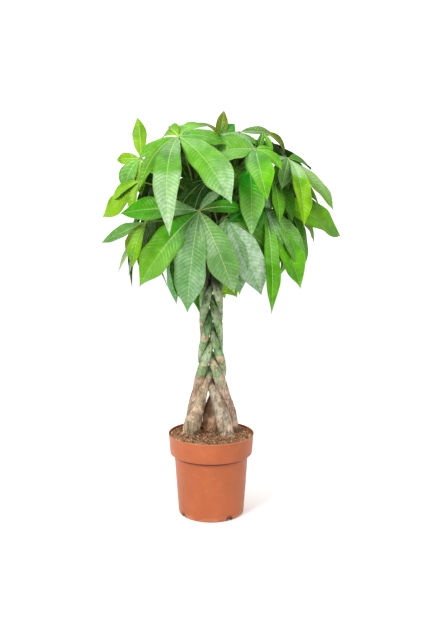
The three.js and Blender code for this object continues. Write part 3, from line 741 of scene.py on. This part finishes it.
def pot_outline():
    """Radius and height along the wall, from the middle of its foot over the lip to the floor inside."""
    outline = [(0, FOOT_HOLLOW), (BODY_FOOT_RADIUS - 16, FOOT_HOLLOW), (BODY_FOOT_RADIUS - 13, 0)]
    outline += arc((BODY_FOOT_RADIUS - FOOT_ROUNDING, FOOT_ROUNDING), FOOT_ROUNDING, -90, 0, 8)
    for share in np.linspace(0.04, 0.985, 30):
        radius = BODY_FOOT_RADIUS + share * (BODY_TOP_RADIUS - BODY_FOOT_RADIUS)
        outline.append((radius, FOOT_ROUNDING + share * (BODY_TOP_HEIGHT - FOOT_ROUNDING)))
    body_top = (BODY_TOP_RADIUS + BODY_TOP_ROUNDING, BODY_TOP_HEIGHT - 0.8)
    outline += arc(body_top, BODY_TOP_ROUNDING, 180, 90, 4)
    outline.append((BODY_TOP_RADIUS + 4, BODY_TOP_HEIGHT + 0.5))
    collar_foot = (COLLAR_FOOT_RADIUS - COLLAR_ROUNDING, COLLAR_FOOT_HEIGHT + COLLAR_ROUNDING - 1)
    outline += arc(collar_foot, COLLAR_ROUNDING, -90, 0, 7)
    for share in np.linspace(0.1, 0.94, 10):
        radius = COLLAR_FOOT_RADIUS + share * (RIM_RADIUS - COLLAR_FOOT_RADIUS - 0.3)
        outline.append((radius, COLLAR_FOOT_HEIGHT + share * (POT_HEIGHT - COLLAR_FOOT_HEIGHT)))
    outline += arc((RIM_RADIUS - LIP_ROUNDING, POT_HEIGHT - LIP_ROUNDING), LIP_ROUNDING, 0, 180, 9)
    outline += [
        (RIM_RADIUS - POT_WALL - 0.4, POT_HEIGHT - 12),
        (COLLAR_FOOT_RADIUS - POT_WALL, COLLAR_FOOT_HEIGHT + 3),
        (BODY_TOP_RADIUS - POT_WALL, COLLAR_FOOT_HEIGHT),
        (BODY_FOOT_RADIUS - POT_WALL, FOOT_ROUNDING),
        (BODY_FOOT_RADIUS - FOOT_ROUNDING, FOOT_HOLLOW + POT_WALL),
        (0, FOOT_HOLLOW + POT_WALL),
    ]
    return outline


def turned(outline, sides):
    """Points and faces of an outline turned about Z, where both its ends lie."""
    radii, heights = np.array(outline).T[..., None, None]
    rings = radii * circle(sides) + heights * np.array([0, 0, 1])
    return tube(rings[1:-1], rings[0, 0], rings[-1, 0])


def notch_places():
    """Where each drainage notch is cut, on a circle just inside the foot."""
    turns = [FIRST_DRAIN_ANGLE + 360 * notch / DRAIN_NOTCHES for notch in range(DRAIN_NOTCHES)]
    radius = BODY_FOOT_RADIUS - 1
    return [(radius * cos(a), radius * sin(a)) for a in map(radians, turns)]


def notch_cutter(x, y):
    bpy.ops.mesh.primitive_cube_add(size=1, rotation=(0, 0, atan2(y, x)))
    cutter = bpy.context.object
    cutter.location = (x * MM, y * MM, 0)
    cutter.scale = (DRAIN_LENGTH * MM, DRAIN_WIDTH * MM, 2 * DRAIN_HEIGHT * MM)
    bevel = cutter.modifiers.new("round", "BEVEL")
    bevel.width = DRAIN_ROUNDING * MM
    bevel.segments = 3
    return cutter


def make_pot(material):
    surface = Surface()
    surface.add(*turned(pot_outline(), POT_SIDES), {})
    pot = surface.build("nursery_pot", material, "pot")
    cutters = [notch_cutter(x, y) for x, y in notch_places()]
    for cutter in cutters:
        pot.modifiers.new("notch", "BOOLEAN").object = cutter
    cut = pot.evaluated_get(bpy.context.evaluated_depsgraph_get())
    pot.data = bpy.data.meshes.new_from_object(cut)
    pot.modifiers.clear()
    pot.data.set_sharp_from_angle(angle=radians(38))
    for cutter in cutters:
        bpy.data.objects.remove(cutter)


# Plait and shoots

def others(strand):
    return [other for other in range(len(FEET)) if other != strand]


def strand_centre(strand, height):
    turning = max(height, WAIST_HEIGHT) - WAIST_HEIGHT
    angle = radians(WAIST_PHASES[strand] + PLAIT_RATE * turning)
    spread = 1 + WAIST_SWELL * min(1, max(0, 1 - turning / SWELL_HEIGHT))
    share = min(1, max(0, (height - SPLAY_HEIGHT) / (WAIST_HEIGHT - SPLAY_HEIGHT)))
    x = spread * PLAIT_WIDTH * sin(angle)
    y = spread * PLAIT_DEPTH * sin(2 * angle)
    foot_x, foot_y = FEET[strand]
    return np.array([foot_x + (x - foot_x) * share ** 1.5, foot_y + (y - foot_y) * share ** 1.9, height])


def strand_height(step):
    return SPLAY_HEIGHT + (PLAIT_TOP - SPLAY_HEIGHT) * step / STRAND_STEPS


def strand_radius(strand, step):
    """As thick as wanted, or as the nearest neighbour allows."""
    height = strand_height(step)
    share = min(1, max(0, (WAIST_HEIGHT - height) / (WAIST_HEIGHT - SPLAY_HEIGHT)))
    wanted = STRAND_RADIUS + (STRAND_FOOT_RADIUS - STRAND_RADIUS) * share ** 0.8
    gaps = []
    for way in (-1, 0, 1):
        near = strand_height(min(STRAND_STEPS, max(0, step + way)))
        middles = [(strand_centre(one, height) + strand_centre(one, near)) / 2 for one in range(len(FEET))]
        gaps += [np.linalg.norm(middles[strand] - middles[other]) for other in others(strand)]
    return min(wanted, min(gaps) / 2 - STRAND_GAP)


def bezier(curve, share):
    """Points at shares of a curve that three points make, and its directions there."""
    a, b, c = np.array(curve, float)
    share = np.asarray(share)[..., None]
    points = (1 - share) ** 2 * a + 2 * share * (1 - share) * b + share ** 2 * c
    return points, unit(2 * (1 - share) * (b - a) + 2 * share * (c - b))


def shoot_curve(strand):
    start = strand_centre(strand, PLAIT_TOP)
    end = np.array(SHOOT_TOPS[strand], float)
    middle = start + (end - start) * 0.45
    middle[2] += SHOOT_LIFT
    return start, middle, end


def stem_rings(strand):
    """Centres and radii of a stem's level rings, from below the soil to its shoot's tip."""
    heights = np.arange(SPLAY_HEIGHT - STEM_DEPTH, PLAIT_TOP, STEM_RING_STEP)
    centres = np.array([strand_centre(strand, max(h, SPLAY_HEIGHT)) for h in heights])
    centres[:, 2] = heights
    steps = range(STRAND_STEPS + 1)
    known = [strand_radius(strand, step) for step in steps]
    radii = np.interp(heights, [strand_height(step) for step in steps], known)
    waist = np.exp(-((heights - PRESSED_MIDDLE) / PRESSED_REACH) ** 2)
    foot = smoothstep(*FOOT_PRESS_STARTS, heights) * smoothstep(*FOOT_PRESS_ENDS, heights)
    plait = 1 - smoothstep(*PLAIT_PRESS_ENDS, heights)
    radii += PLAIT_PRESS * plait + WAIST_PRESS * waist + FOOT_PRESS[strand] * foot
    shares = np.linspace(0, 1, SHOOT_RINGS)
    shoot_radii = SHOOT_TIP_RADIUS + (known[-1] - SHOOT_TIP_RADIUS) * (1 - shares) ** 1.5
    shoot = bezier(shoot_curve(strand), shares)[0]
    return np.concatenate([centres, shoot]), np.append(radii, shoot_radii)


def bark_relief(strand, points):
    """How far the bark stands out: ridges and knots on old wood, and scar rings higher up."""
    heights = points[:, 2]
    ridges = rough(points * (1, 1, 0.35) + 37 * strand, 0.11, 4)
    knots = rough(points + 91 * strand, 0.035, 2)
    old = smoothstep(*OLD_BARK_FROM, heights)
    from_scar = (heights + 13 * strand) % SCAR_RING_SPACING - SCAR_RING_SPACING / 2
    scars = np.exp(-(from_scar / 2.2) ** 2) * smoothstep(*SCAR_RINGS_FROM, heights)
    return 0.55 * ridges * (0.35 + 0.65 * old) + 0.8 * knots * old + 0.35 * scars - 0.25


def crease_shade_share(strand, points):
    """How much painted shade a stem's skin takes: 1 where it meets a neighbouring stem, 0 where it is clear
    of all of them.
    """
    clear = np.full(len(points), 99.0)
    levels = np.round(np.clip(points[:, 2], SPLAY_HEIGHT, PLAIT_TOP) / 2).astype(int) * 2
    for level in np.unique(levels):
        rows = np.where(levels == level)[0]
        step = round((level - SPLAY_HEIGHT) / (PLAIT_TOP - SPLAY_HEIGHT) * STRAND_STEPS)
        for other in others(strand):
            centre = strand_centre(other, level)
            reach = strand_radius(other, step) + PLAIT_PRESS
            gap = np.hypot(*(points[rows, :2] - centre[:2]).T) - reach
            clear[rows] = np.minimum(clear[rows], gap)
    return smoothstep(CREASE_SHADE_DEPTH, -0.3, clear) * smoothstep(*CREASE_SHADE_ENDS, points[:, 2])


def stem_tint(strand, points, turn):
    tint = np.tile(STEM_TINTS[strand], (len(points), 1))
    if strand == PEELED_STRAND:
        # Peeled side: real pale bark, made paler as painted light against the shade of the stems in front
        facing = np.cos(2 * pi * (turn - PEELED_SIDE)) + 0.5 * rough(points, 0.05)
        peeled = (smoothstep(0.1, 0.5, facing) * smoothstep(*PEELED_FROM, points[:, 2]))[:, None]
        tint = tint * (1 - peeled) + np.array(PEELED_AND_LIT_TINT) * peeled
    return tint


def make_stem(strand, material):
    """One stem from below the soil to its shoot's tip, as level rings with bark relief."""
    centres, radii = stem_rings(strand)
    around = circle(STEM_SIDES)
    rings = centres[:, None] + radii[:, None, None] * around
    relief = bark_relief(strand, rings.reshape(-1, 3)).reshape(len(rings), STEM_SIDES, 1)
    points, faces = tube(rings + relief * around, centres[0], centres[-1] + (0, 0, SHOOT_CAP))
    turn = np.append(np.tile(np.arange(STEM_SIDES) / STEM_SIDES, len(rings)), [0, 0])
    bark = np.stack([points[:, 2], np.full(len(points), strand), crease_shade_share(strand, points)], 1)
    surface = Surface()
    surface.add(points, faces, {"bark": bark, "tint": stem_tint(strand, points, turn)})
    surface.build(f"plait_stem_{strand + 1}", material, f"stem_{strand + 1}")


# Leaves

def leaf_frame(leaf):
    """Which way a leaf faces, and its downward and right-hand directions."""
    turn, lean = radians(leaf.turn), radians(leaf.lean)
    out, up = np.array([sin(turn), -cos(turn), 0]), np.array([0, 0, 1])
    face = out * cos(lean) + up * sin(lean)
    down = out * sin(lean) - up * cos(lean)
    return face, down, np.array([cos(turn), sin(turn), 0])


def blade_bends():
    """Each way of bending a blade: extra turn, extra lift and share of its length."""
    for share, pairs in BLADE_TURNS_AND_LIFTS.items():
        for turn, lift in pairs:
            for lift_way in (1, -1) if lift else (1,):
                for turn_way in (1, -1) if turn else (1,):
                    yield turn * turn_way, lift * lift_way, share


def blade_curve(leaf, blade, bend):
    turn, lift, share = bend
    face, down, right = leaf_frame(leaf)
    length = blade.length * share

    def across(degrees):
        return down * cos(radians(degrees)) + right * sin(radians(degrees))

    dip = radians(blade.dip - lift)
    reach = across(blade.angle + turn) * cos(dip) - face * sin(dip)
    reach[2] -= blade.sag
    rise = radians(blade.lift)
    start = across(blade.angle + turn + blade.bend) * cos(rise) + face * sin(rise)
    hub = np.array(leaf.hub, float)
    return hub, hub + 0.5 * length * unit(start), hub + length * unit(reach)


def half_width(share, width, outline):
    """Half of the blade's width along it, from an outline rounded by a short moving average."""
    fine = np.linspace(0, 1, 201)
    places, widths = np.array(outline).T
    curve = np.interp(fine, places, widths)
    window = np.hanning(17)
    padded = np.pad(curve, 8, "reflect", reflect_type="odd")
    curve = np.convolve(padded, window / window.sum(), "valid")
    return 0.5 * width * np.maximum(np.interp(share, fine, curve), 0)


def blade_directions(leaf, blade, curve, share):
    """A blade's middle line, and which way its face and its side point along it."""
    spine, along = bezier(curve, share)
    face = leaf_frame(leaf)[0]
    flat = unit(face - along * (along @ face)[:, None])
    level = np.cross(along, flat)
    roll = radians(blade.roll)
    up = flat * cos(roll) + level * sin(roll)
    side = level * cos(roll) - flat * sin(roll)
    return spine[:, None], up[:, None], side[:, None]


def blade_grid(leaf, blade, bend, draw):
    """A blade's middle surface with its upward direction, and veins, offset, rib distance and share."""
    length = blade.length * bend[2] * blade.trim
    rows = max(FEWEST_ROWS, int(length / GRID_STEP))
    curve = blade_curve(leaf, blade, bend)
    spine, up, side = blade_directions(leaf, blade, curve, np.linspace(0, blade.trim, rows))
    share = np.linspace(0, 1, rows)[:, None]
    side_share = np.linspace(-1, 1, GRID_ACROSS + 1)
    sign = np.sign(side_share)
    offset = np.abs(side_share) * np.ones_like(share)
    half = half_width(share, blade.ratio * length, blade.outline)
    half = np.maximum(half, 1 - smoothstep(0.9, 1, share) + 0.25)
    pairs = max(6, round(length * 0.9 / VEIN_SPACING))
    sweep = half * offset * (0.42 + 0.3 * offset) / length
    phase = pairs * (share - sweep) + draw()
    calm = min(1, length / WAVY_LENGTH) if blade.calm is None else blade.calm
    ripple = np.sin(2 * pi * (2.6 * share + draw() + sign * draw()))
    half_there = half * (1 + 0.05 * calm * ripple * offset ** 2)
    quilt = (0.0025 * half + 0.05) * calm * np.cos(2 * pi * phase) * np.sin(pi * offset ** 0.7)
    waves = 1.5 + 2.5 * draw()
    swing = 0.06 * half * offset ** 2 * calm
    wavy = swing * np.sin(2 * pi * (waves * share + draw()) + sign * draw() * 3)
    crown = half * blade.fold * (offset + 0.9 * offset * (1 - offset))
    twist = radians(14 * calm * (draw() - 0.5)) * share * side_share * half
    height = crown + quilt + wavy + twist
    points = spine + side * (half_there * side_share)[..., None] + up * height[..., None]
    return points, up, phase, offset, half * offset, share


def blade_tints(blade, share, columns, draw):
    """Waxy bloom with painted sheen, and tone, at each point of a blade's grid."""
    colour, bloom_and_sheen = TONES[blade.tone]
    # Painted sheen: the stops give each half of a blade its own wax and sheen along its length
    stops = np.array([(stop[0], stop[1], stop[-1]) for stop in blade.wax_and_sheen or [(0, bloom_and_sheen)]])
    left, right = (np.interp(share, stops[:, 0], stops[:, half]) for half in (1, 2))
    leftness = smoothstep(-0.15, 0.15, np.linspace(-1, 1, columns))
    wax_and_sheen = (left * leftness + right * (1 - leftness)).ravel()
    shift = 1 + 0.16 * (draw() - 0.5)
    shift = np.array([shift * (1 + 0.12 * (draw() - 0.5)), shift, shift])
    to_tip = smoothstep(0.22, 0.68, np.repeat(share, columns))[:, None]
    tip = TONES[blade.tip or blade.tone][0]
    return wax_and_sheen, (np.array(colour) * (1 - to_tip) + np.array(tip) * to_tip) * shift


def add_blade(surface, leaf, blade, bend, draw):
    points, up, phase, offset, from_rib, share = blade_grid(leaf, blade, bend, draw)
    rows, columns = phase.shape
    slim = 0.35 + 0.65 * smoothstep(1, 0.75, offset)
    rib = np.exp(-(from_rib / 1.1) ** 2) * (1 - 0.7 * share)
    top = points + up * (0.5 * BLADE_THICKNESS * slim + 0.22 * rib)[..., None]
    low = points - up * (0.5 * BLADE_THICKNESS * slim + 0.85 * rib)[..., None]
    count = rows * columns
    grid = grid_faces(rows, columns)
    index = np.arange(count).reshape(rows, columns)
    rim = np.concatenate([index[:, 0], index[-1, 1:], index[-2::-1, -1], index[0, -2:0:-1]])
    after = np.roll(rim, -1)
    edge = np.stack([rim, after, after + count, rim + count], 1)
    wax_and_sheen, tone = blade_tints(blade, share, columns, draw)
    vein = np.stack([phase, offset, from_rib / (1.25 - 0.85 * share)], -1).reshape(-1, 3)
    ageing = np.full(count, 0.1 * draw() ** 3)
    skins = [np.stack([wax_and_sheen, np.full(count, under), ageing], 1) for under in (0, 1)]
    values = {"vein": np.tile(vein, (2, 1)), "tone": np.tile(tone, (2, 1)), "skin": np.concatenate(skins)}
    faces = np.concatenate([grid[:, ::-1], grid + count, edge])
    surface.add(np.concatenate([top, low]).reshape(-1, 3), faces, values)


def petiole_curve(leaf, bend):
    """From the nearest shoot, at a height that climbs with the leaf's, to its hub."""
    shift, extra = bend
    hub = np.array(leaf.hub, float)
    height = PLAIT_TOP + PETIOLE_CLIMB * (hub[2] - PETIOLE_LOWEST_HUB) + shift
    shares = [min(0.97, max(0, (height - PLAIT_TOP) / (top[2] - PLAIT_TOP))) for top in SHOOT_TOPS]
    roots = [bezier(shoot_curve(strand), share)[0] for strand, share in enumerate(shares)]
    root = min(roots, key=lambda place: np.linalg.norm(place - hub))
    control = root + (hub - root) * 0.6
    control[2] += (leaf.arch + extra) * np.linalg.norm(root - hub)
    return root, control, hub


def petiole_ring(curve, share, radius, sides):
    middle, along = bezier(curve, share)
    side = unit(np.cross(along, (0, 0, 1)))
    up = np.cross(side, along)
    return middle + radius * (circle(sides)[:, :2] @ np.array([side, up]))


def petiole_radius(share):
    return PETIOLE_ROOT_RADIUS + (PETIOLE_TIP_RADIUS - PETIOLE_ROOT_RADIUS) * share


def add_petiole(surface, leaf, bend, draw):
    """The stalk, swollen at both ends, and the knob that the leaflets grow from."""
    curve = petiole_curve(leaf, bend)
    rings = []
    for share in np.linspace(0, 1, PETIOLE_RINGS):
        swell = 1 + 0.75 * exp(-(share / 0.035) ** 2) + 0.45 * exp(-((1 - share) / 0.05) ** 2)
        rings.append(petiole_ring(curve, share, petiole_radius(share) * swell, PETIOLE_SIDES))
    no_veins = (0.25, 0.3, 9)
    stalk_tone = np.array([0.12, 0.27, 0.04]) * (0.8 + 0.4 * draw())
    stalk = {"vein": no_veins, "tone": stalk_tone, "skin": (0.05, 0, 0.25 * draw())}
    surface.add(*tube(np.array(rings), curve[0], curve[2], flip=True), stalk)
    face = leaf_frame(leaf)[0]
    side = unit(np.cross(face, (0.3, 0.2, 1)))
    around = circle(KNOB_SIDES)[:, :2] @ np.array([side, np.cross(face, side)])
    lobes = 1 + 0.14 * np.cos(10 * pi * np.arange(KNOB_SIDES) / KNOB_SIDES)[:, None]
    rise = 0.72 * KNOB_RADIUS * face
    cap = []
    for angle in pi * np.linspace(0.12, 0.92, KNOB_RINGS):
        cap.append(curve[2] + rise * cos(angle) + 0.86 * KNOB_RADIUS * sin(angle) * lobes * around)
    tan = 0.6 * draw()
    knob_tone = np.array([0.3, 0.42, 0.05]) * (1 - tan) + np.array([0.38, 0.21, 0.07]) * tan
    knob = {"vein": no_veins, "tone": knob_tone, "skin": (0.1, 0, 0.1)}
    surface.add(*tube(np.array(cap), curve[2] + rise, curve[2] - rise, flip=True), knob)


def whorl_leaves():
    source = park_miller(WHORL_SEED)

    def spread(size):
        return size * (2 * next(source) - 1)

    leaves = []
    count = 0
    for level, reach, lean, length, turns in WHORLS:
        tones = WHORL_TONES if reach > SHADED_RADIUS else SHADED_TONES
        for place, middle in enumerate(turns):
            outer = (-1) ** place
            turn = middle + spread(4)
            radius = reach + WHORL_STAGGER[0] * outer + spread(4)
            height = level + WHORL_STAGGER[1] * outer + spread(6)
            x = WHORL_AXIS + radius * sin(radians(turn))
            y = -radius * cos(radians(turn))
            blades = []
            for angle in WHORL_ANGLES:
                shrink = 1 - 0.42 * (abs(angle) / 120) ** 1.5
                own_angle = angle + spread(6)
                own_length = length * shrink * (1 + spread(0.12))
                blades.append(Blade(own_angle, own_length, tones[count % len(tones)], WHORL_RATIO))
                count += 1
            leaves.append(Leaf((x, y, height), turn, lean + spread(6), blades, sag=WHORL_SAG))
    return leaves


def make_leaf(number, leaf, material):
    """Bent as in the frame: a bend is the one whose tip or stalk ring is a corner of the node."""
    replaced = f"leaf_{number:02d}"
    corners = np.array([v.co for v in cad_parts[replaced].data.vertices]) / MM
    draw = park_miller(LEAF_SEED + LEAF_SEED_STEP * number).__next__

    def is_corner(point):
        return np.min(np.linalg.norm(corners - point, axis=1)) < SAME_POINT

    def stalk_fits(bend):
        ring = petiole_ring(petiole_curve(leaf, bend), CHECKED_SHARE, petiole_radius(CHECKED_SHARE), 4)
        return any(is_corner(point) for point in ring)

    surface = Surface()
    add_petiole(surface, leaf, next(filter(stalk_fits, PETIOLE_BENDS), PETIOLE_BENDS[0]), draw)
    for blade in leaf.blades:
        for bend in blade_bends():
            if is_corner(blade_curve(leaf, blade, bend)[2]):
                add_blade(surface, leaf, blade, bend, draw)
                break
    surface.build(f"foliage_{number:02d}", material, replaced)


# Soil: an uneven bed with crumbs, fibres and bark chips strewn over it

def soil_level(x, y):
    """Height of the soil at a place: higher round the stems, rough everywhere."""
    radius = np.hypot(x, y)
    places = np.stack([x, y, np.zeros_like(x)], 1)
    lumps = rough(places, 0.055)
    grit = rough(places + 40, 0.22)
    near = np.min([np.hypot(x - fx, y - fy) for fx, fy in FEET], axis=0)
    heap = 3 * np.exp(-((near - 16) / 16) ** 2) * smoothstep(98, 80, radius)
    return SOIL_HEIGHT + 1.8 * lumps + 1.1 * grit + heap + 1.5 * (1 - radius / 100)


def soil_edge():
    """Radius of the soil, just inside the collar."""
    share = (SOIL_HEIGHT - COLLAR_FOOT_HEIGHT) / (POT_HEIGHT - COLLAR_FOOT_HEIGHT)
    return COLLAR_FOOT_RADIUS + (RIM_RADIUS - COLLAR_FOOT_RADIUS) * share - POT_WALL - SOIL_RIM_GAP


def make_soil(material):
    floor = soil_edge() * circle(SOIL_SIDES) + (0, 0, SOIL_HEIGHT - SOIL_DEPTH)
    radii = soil_edge() * np.sqrt(np.linspace(1, 0.0006, SOIL_RINGS))
    top = radii[:, None, None] * circle(SOIL_SIDES)
    top[..., 2] = soil_level(top[..., 0].ravel(), top[..., 1].ravel()).reshape(SOIL_RINGS, SOIL_SIDES)
    ends = (0, 0, SOIL_HEIGHT - SOIL_DEPTH), (0, 0, top[-1, -1, 2])
    points, faces = tube(np.concatenate([floor[None], top]), *ends)
    shades = np.random.default_rng(BED_SEED).uniform(0.6, 1.3, (len(points), 1))
    surface = Surface()
    surface.add(points, faces, {"tint": np.array(BED_TINT) * shades})
    surface.build("soil_bed", material, "soil")


def crumb_shapes():
    """A finer and a coarser lump, each as unit points and faces."""
    shapes = []
    for subdivisions in (2, 1):
        bpy.ops.mesh.primitive_ico_sphere_add(subdivisions=subdivisions, radius=1)
        lump = bpy.context.object
        points = np.array([v.co for v in lump.data.vertices])
        faces = [tuple(p.vertices) for p in lump.data.polygons]
        shapes.append((points, faces))
        bpy.data.objects.remove(lump)
    return shapes


def crumb_place(generator):
    """A place on the soil, some of them close round the foot of a stem."""
    while True:
        angle = generator.uniform(0, 2 * pi)
        radius = CRUMB_REACH * sqrt(generator.uniform(0, 1))
        x, y = radius * cos(angle), radius * sin(angle)
        if generator.uniform(0, 1) < SHARE_AT_STEMS:
            foot = FEET[generator.integers(len(FEET))]
            radius = generator.uniform(STEM_CLEARANCE, STEM_HEAP)
            x, y = foot[0] + radius * cos(angle), foot[1] + radius * sin(angle)
        if all(hypot(x - fx, y - fy) > STEM_CLEARANCE for fx, fy in FEET):
            return x, y


def turned_random(points, generator, flat):
    angle = generator.uniform(0, 2 * pi)
    tilt = generator.uniform(-1, 1) * (1 - flat) * 1.3 + generator.uniform(-0.35, 0.35)
    return points @ np.array(Euler((tilt, 0, angle)).to_matrix()).T


def make_crumbs(material):
    generator = np.random.default_rng(CRUMB_SEED)
    big, small = crumb_shapes()
    limit = soil_edge() - 0.4
    surface = Surface()
    for kind in ["crumb"] * CRUMBS + ["fibre"] * FIBRES + ["chip"] * CHIPS:
        x, y = crumb_place(generator)
        if kind == "crumb":
            size = generator.uniform(*CRUMB_SIZES)
            scale = size * generator.uniform(0.6, 1.2, 3)
            points, faces = big if size > BIG_CRUMB else small
        else:
            scale = np.array([generator.uniform(*sizes) for sizes in LONG_SIZES[kind]])
            points, faces = small if kind == "fibre" else big
        jitter = 1 + generator.uniform(-0.22, 0.22, (len(points), 1))
        shaped = turned_random(points * jitter * scale, generator, 0 if kind == "crumb" else 0.75)
        shrink = min(1, limit / np.hypot(shaped[:, 0] + x, shaped[:, 1] + y).max())
        x, y = x * shrink, y * shrink
        base = soil_level(np.array([x]), np.array([y]))[0] + 0.35 * scale[2]
        tint = np.array(SOIL_TINTS[generator.integers(len(SOIL_TINTS))]) * generator.uniform(0.75, 1.35)
        surface.add(shaped + (x, y, base), faces, {"tint": tint})
    surface.build("soil_crumbs", material)


# Studio

def make_stage():
    shade = Shade("studio_floor")
    colour = mix(shade.noise(3), (0.86, 0.86, 0.85), (0.9, 0.9, 0.89))
    shade.finish(Base_Color=colour, Roughness=0.85, Emission_Color=(1, 1, 1), Emission_Strength=FLOOR_GLOW)
    bpy.ops.mesh.primitive_circle_add(vertices=96, radius=FLOOR_RADIUS, fill_type="NGON")
    floor = bpy.context.object
    floor.name = "studio_floor"
    floor.data.materials.append(shade.material)


def make_world():
    """White behind the plant, and a softer white that lights it."""
    world = bpy.data.worlds.new("studio")
    world.use_nodes = True
    seen = node("LightPath", {}, world.node_tree)["Is Camera Ray"]
    strength = {"Value": seen, "To Min": WORLD_LIGHT, "To Max": WORLD_BACKDROP}
    background = world.node_tree.nodes["Background"].inputs
    put(background["Color"], (1, 1, 1))
    put(background["Strength"], node("MapRange", strength)["Result"])
    bpy.context.scene.world = world


def add_lamp(name, kind, strength, place, turn, **settings):
    lamp = bpy.data.lights.new(name, kind)
    lamp.energy = strength
    for key, value in settings.items():
        setattr(lamp, key, value)
    new_object(name, lamp, place, turn)


def make_light():
    for name, (place, breadth, power) in LAMPS.items():
        turn = (Vector(LAMP_TARGET) - Vector(place)).to_track_quat("-Z", "Y").to_euler()
        add_lamp(name, "AREA", power, place, turn, shape="DISK", size=breadth)
    turn = [radians(angle) for angle in OVERHEAD_TILT]
    add_lamp("overhead", "SUN", OVERHEAD_STRENGTH, (0, 0, 3), turn, angle=radians(OVERHEAD_BREADTH))


def make_camera():
    lens = bpy.data.cameras.new("photo_view")
    lens.sensor_fit = "VERTICAL"
    lens.sensor_height = SENSOR
    lens.lens = FOCAL_PIXELS * SENSOR / PHOTO_HEIGHT
    lens.clip_start = 0.05
    place = Vector(CAMERA_PLACE) * MM
    bpy.context.scene.camera = new_object("photo_view", lens, place, (radians(CAMERA_TILT), 0, 0))


make_camera()
make_world()
make_light()
make_stage()
bpy.context.scene.view_settings.view_transform = "Standard"
bpy.context.scene.view_settings.look = "Medium High Contrast"

make_pot(plastic_material())
peat = soil_material()
make_soil(peat)
make_crumbs(peat)
bark = bark_material()
for strand_number in range(len(FEET)):
    make_stem(strand_number, bark)
leaf_skin = leaf_material()
for leaf_number, one_leaf in enumerate(FRONT_LEAVES + whorl_leaves(), start=1):
    make_leaf(leaf_number, one_leaf, leaf_skin)
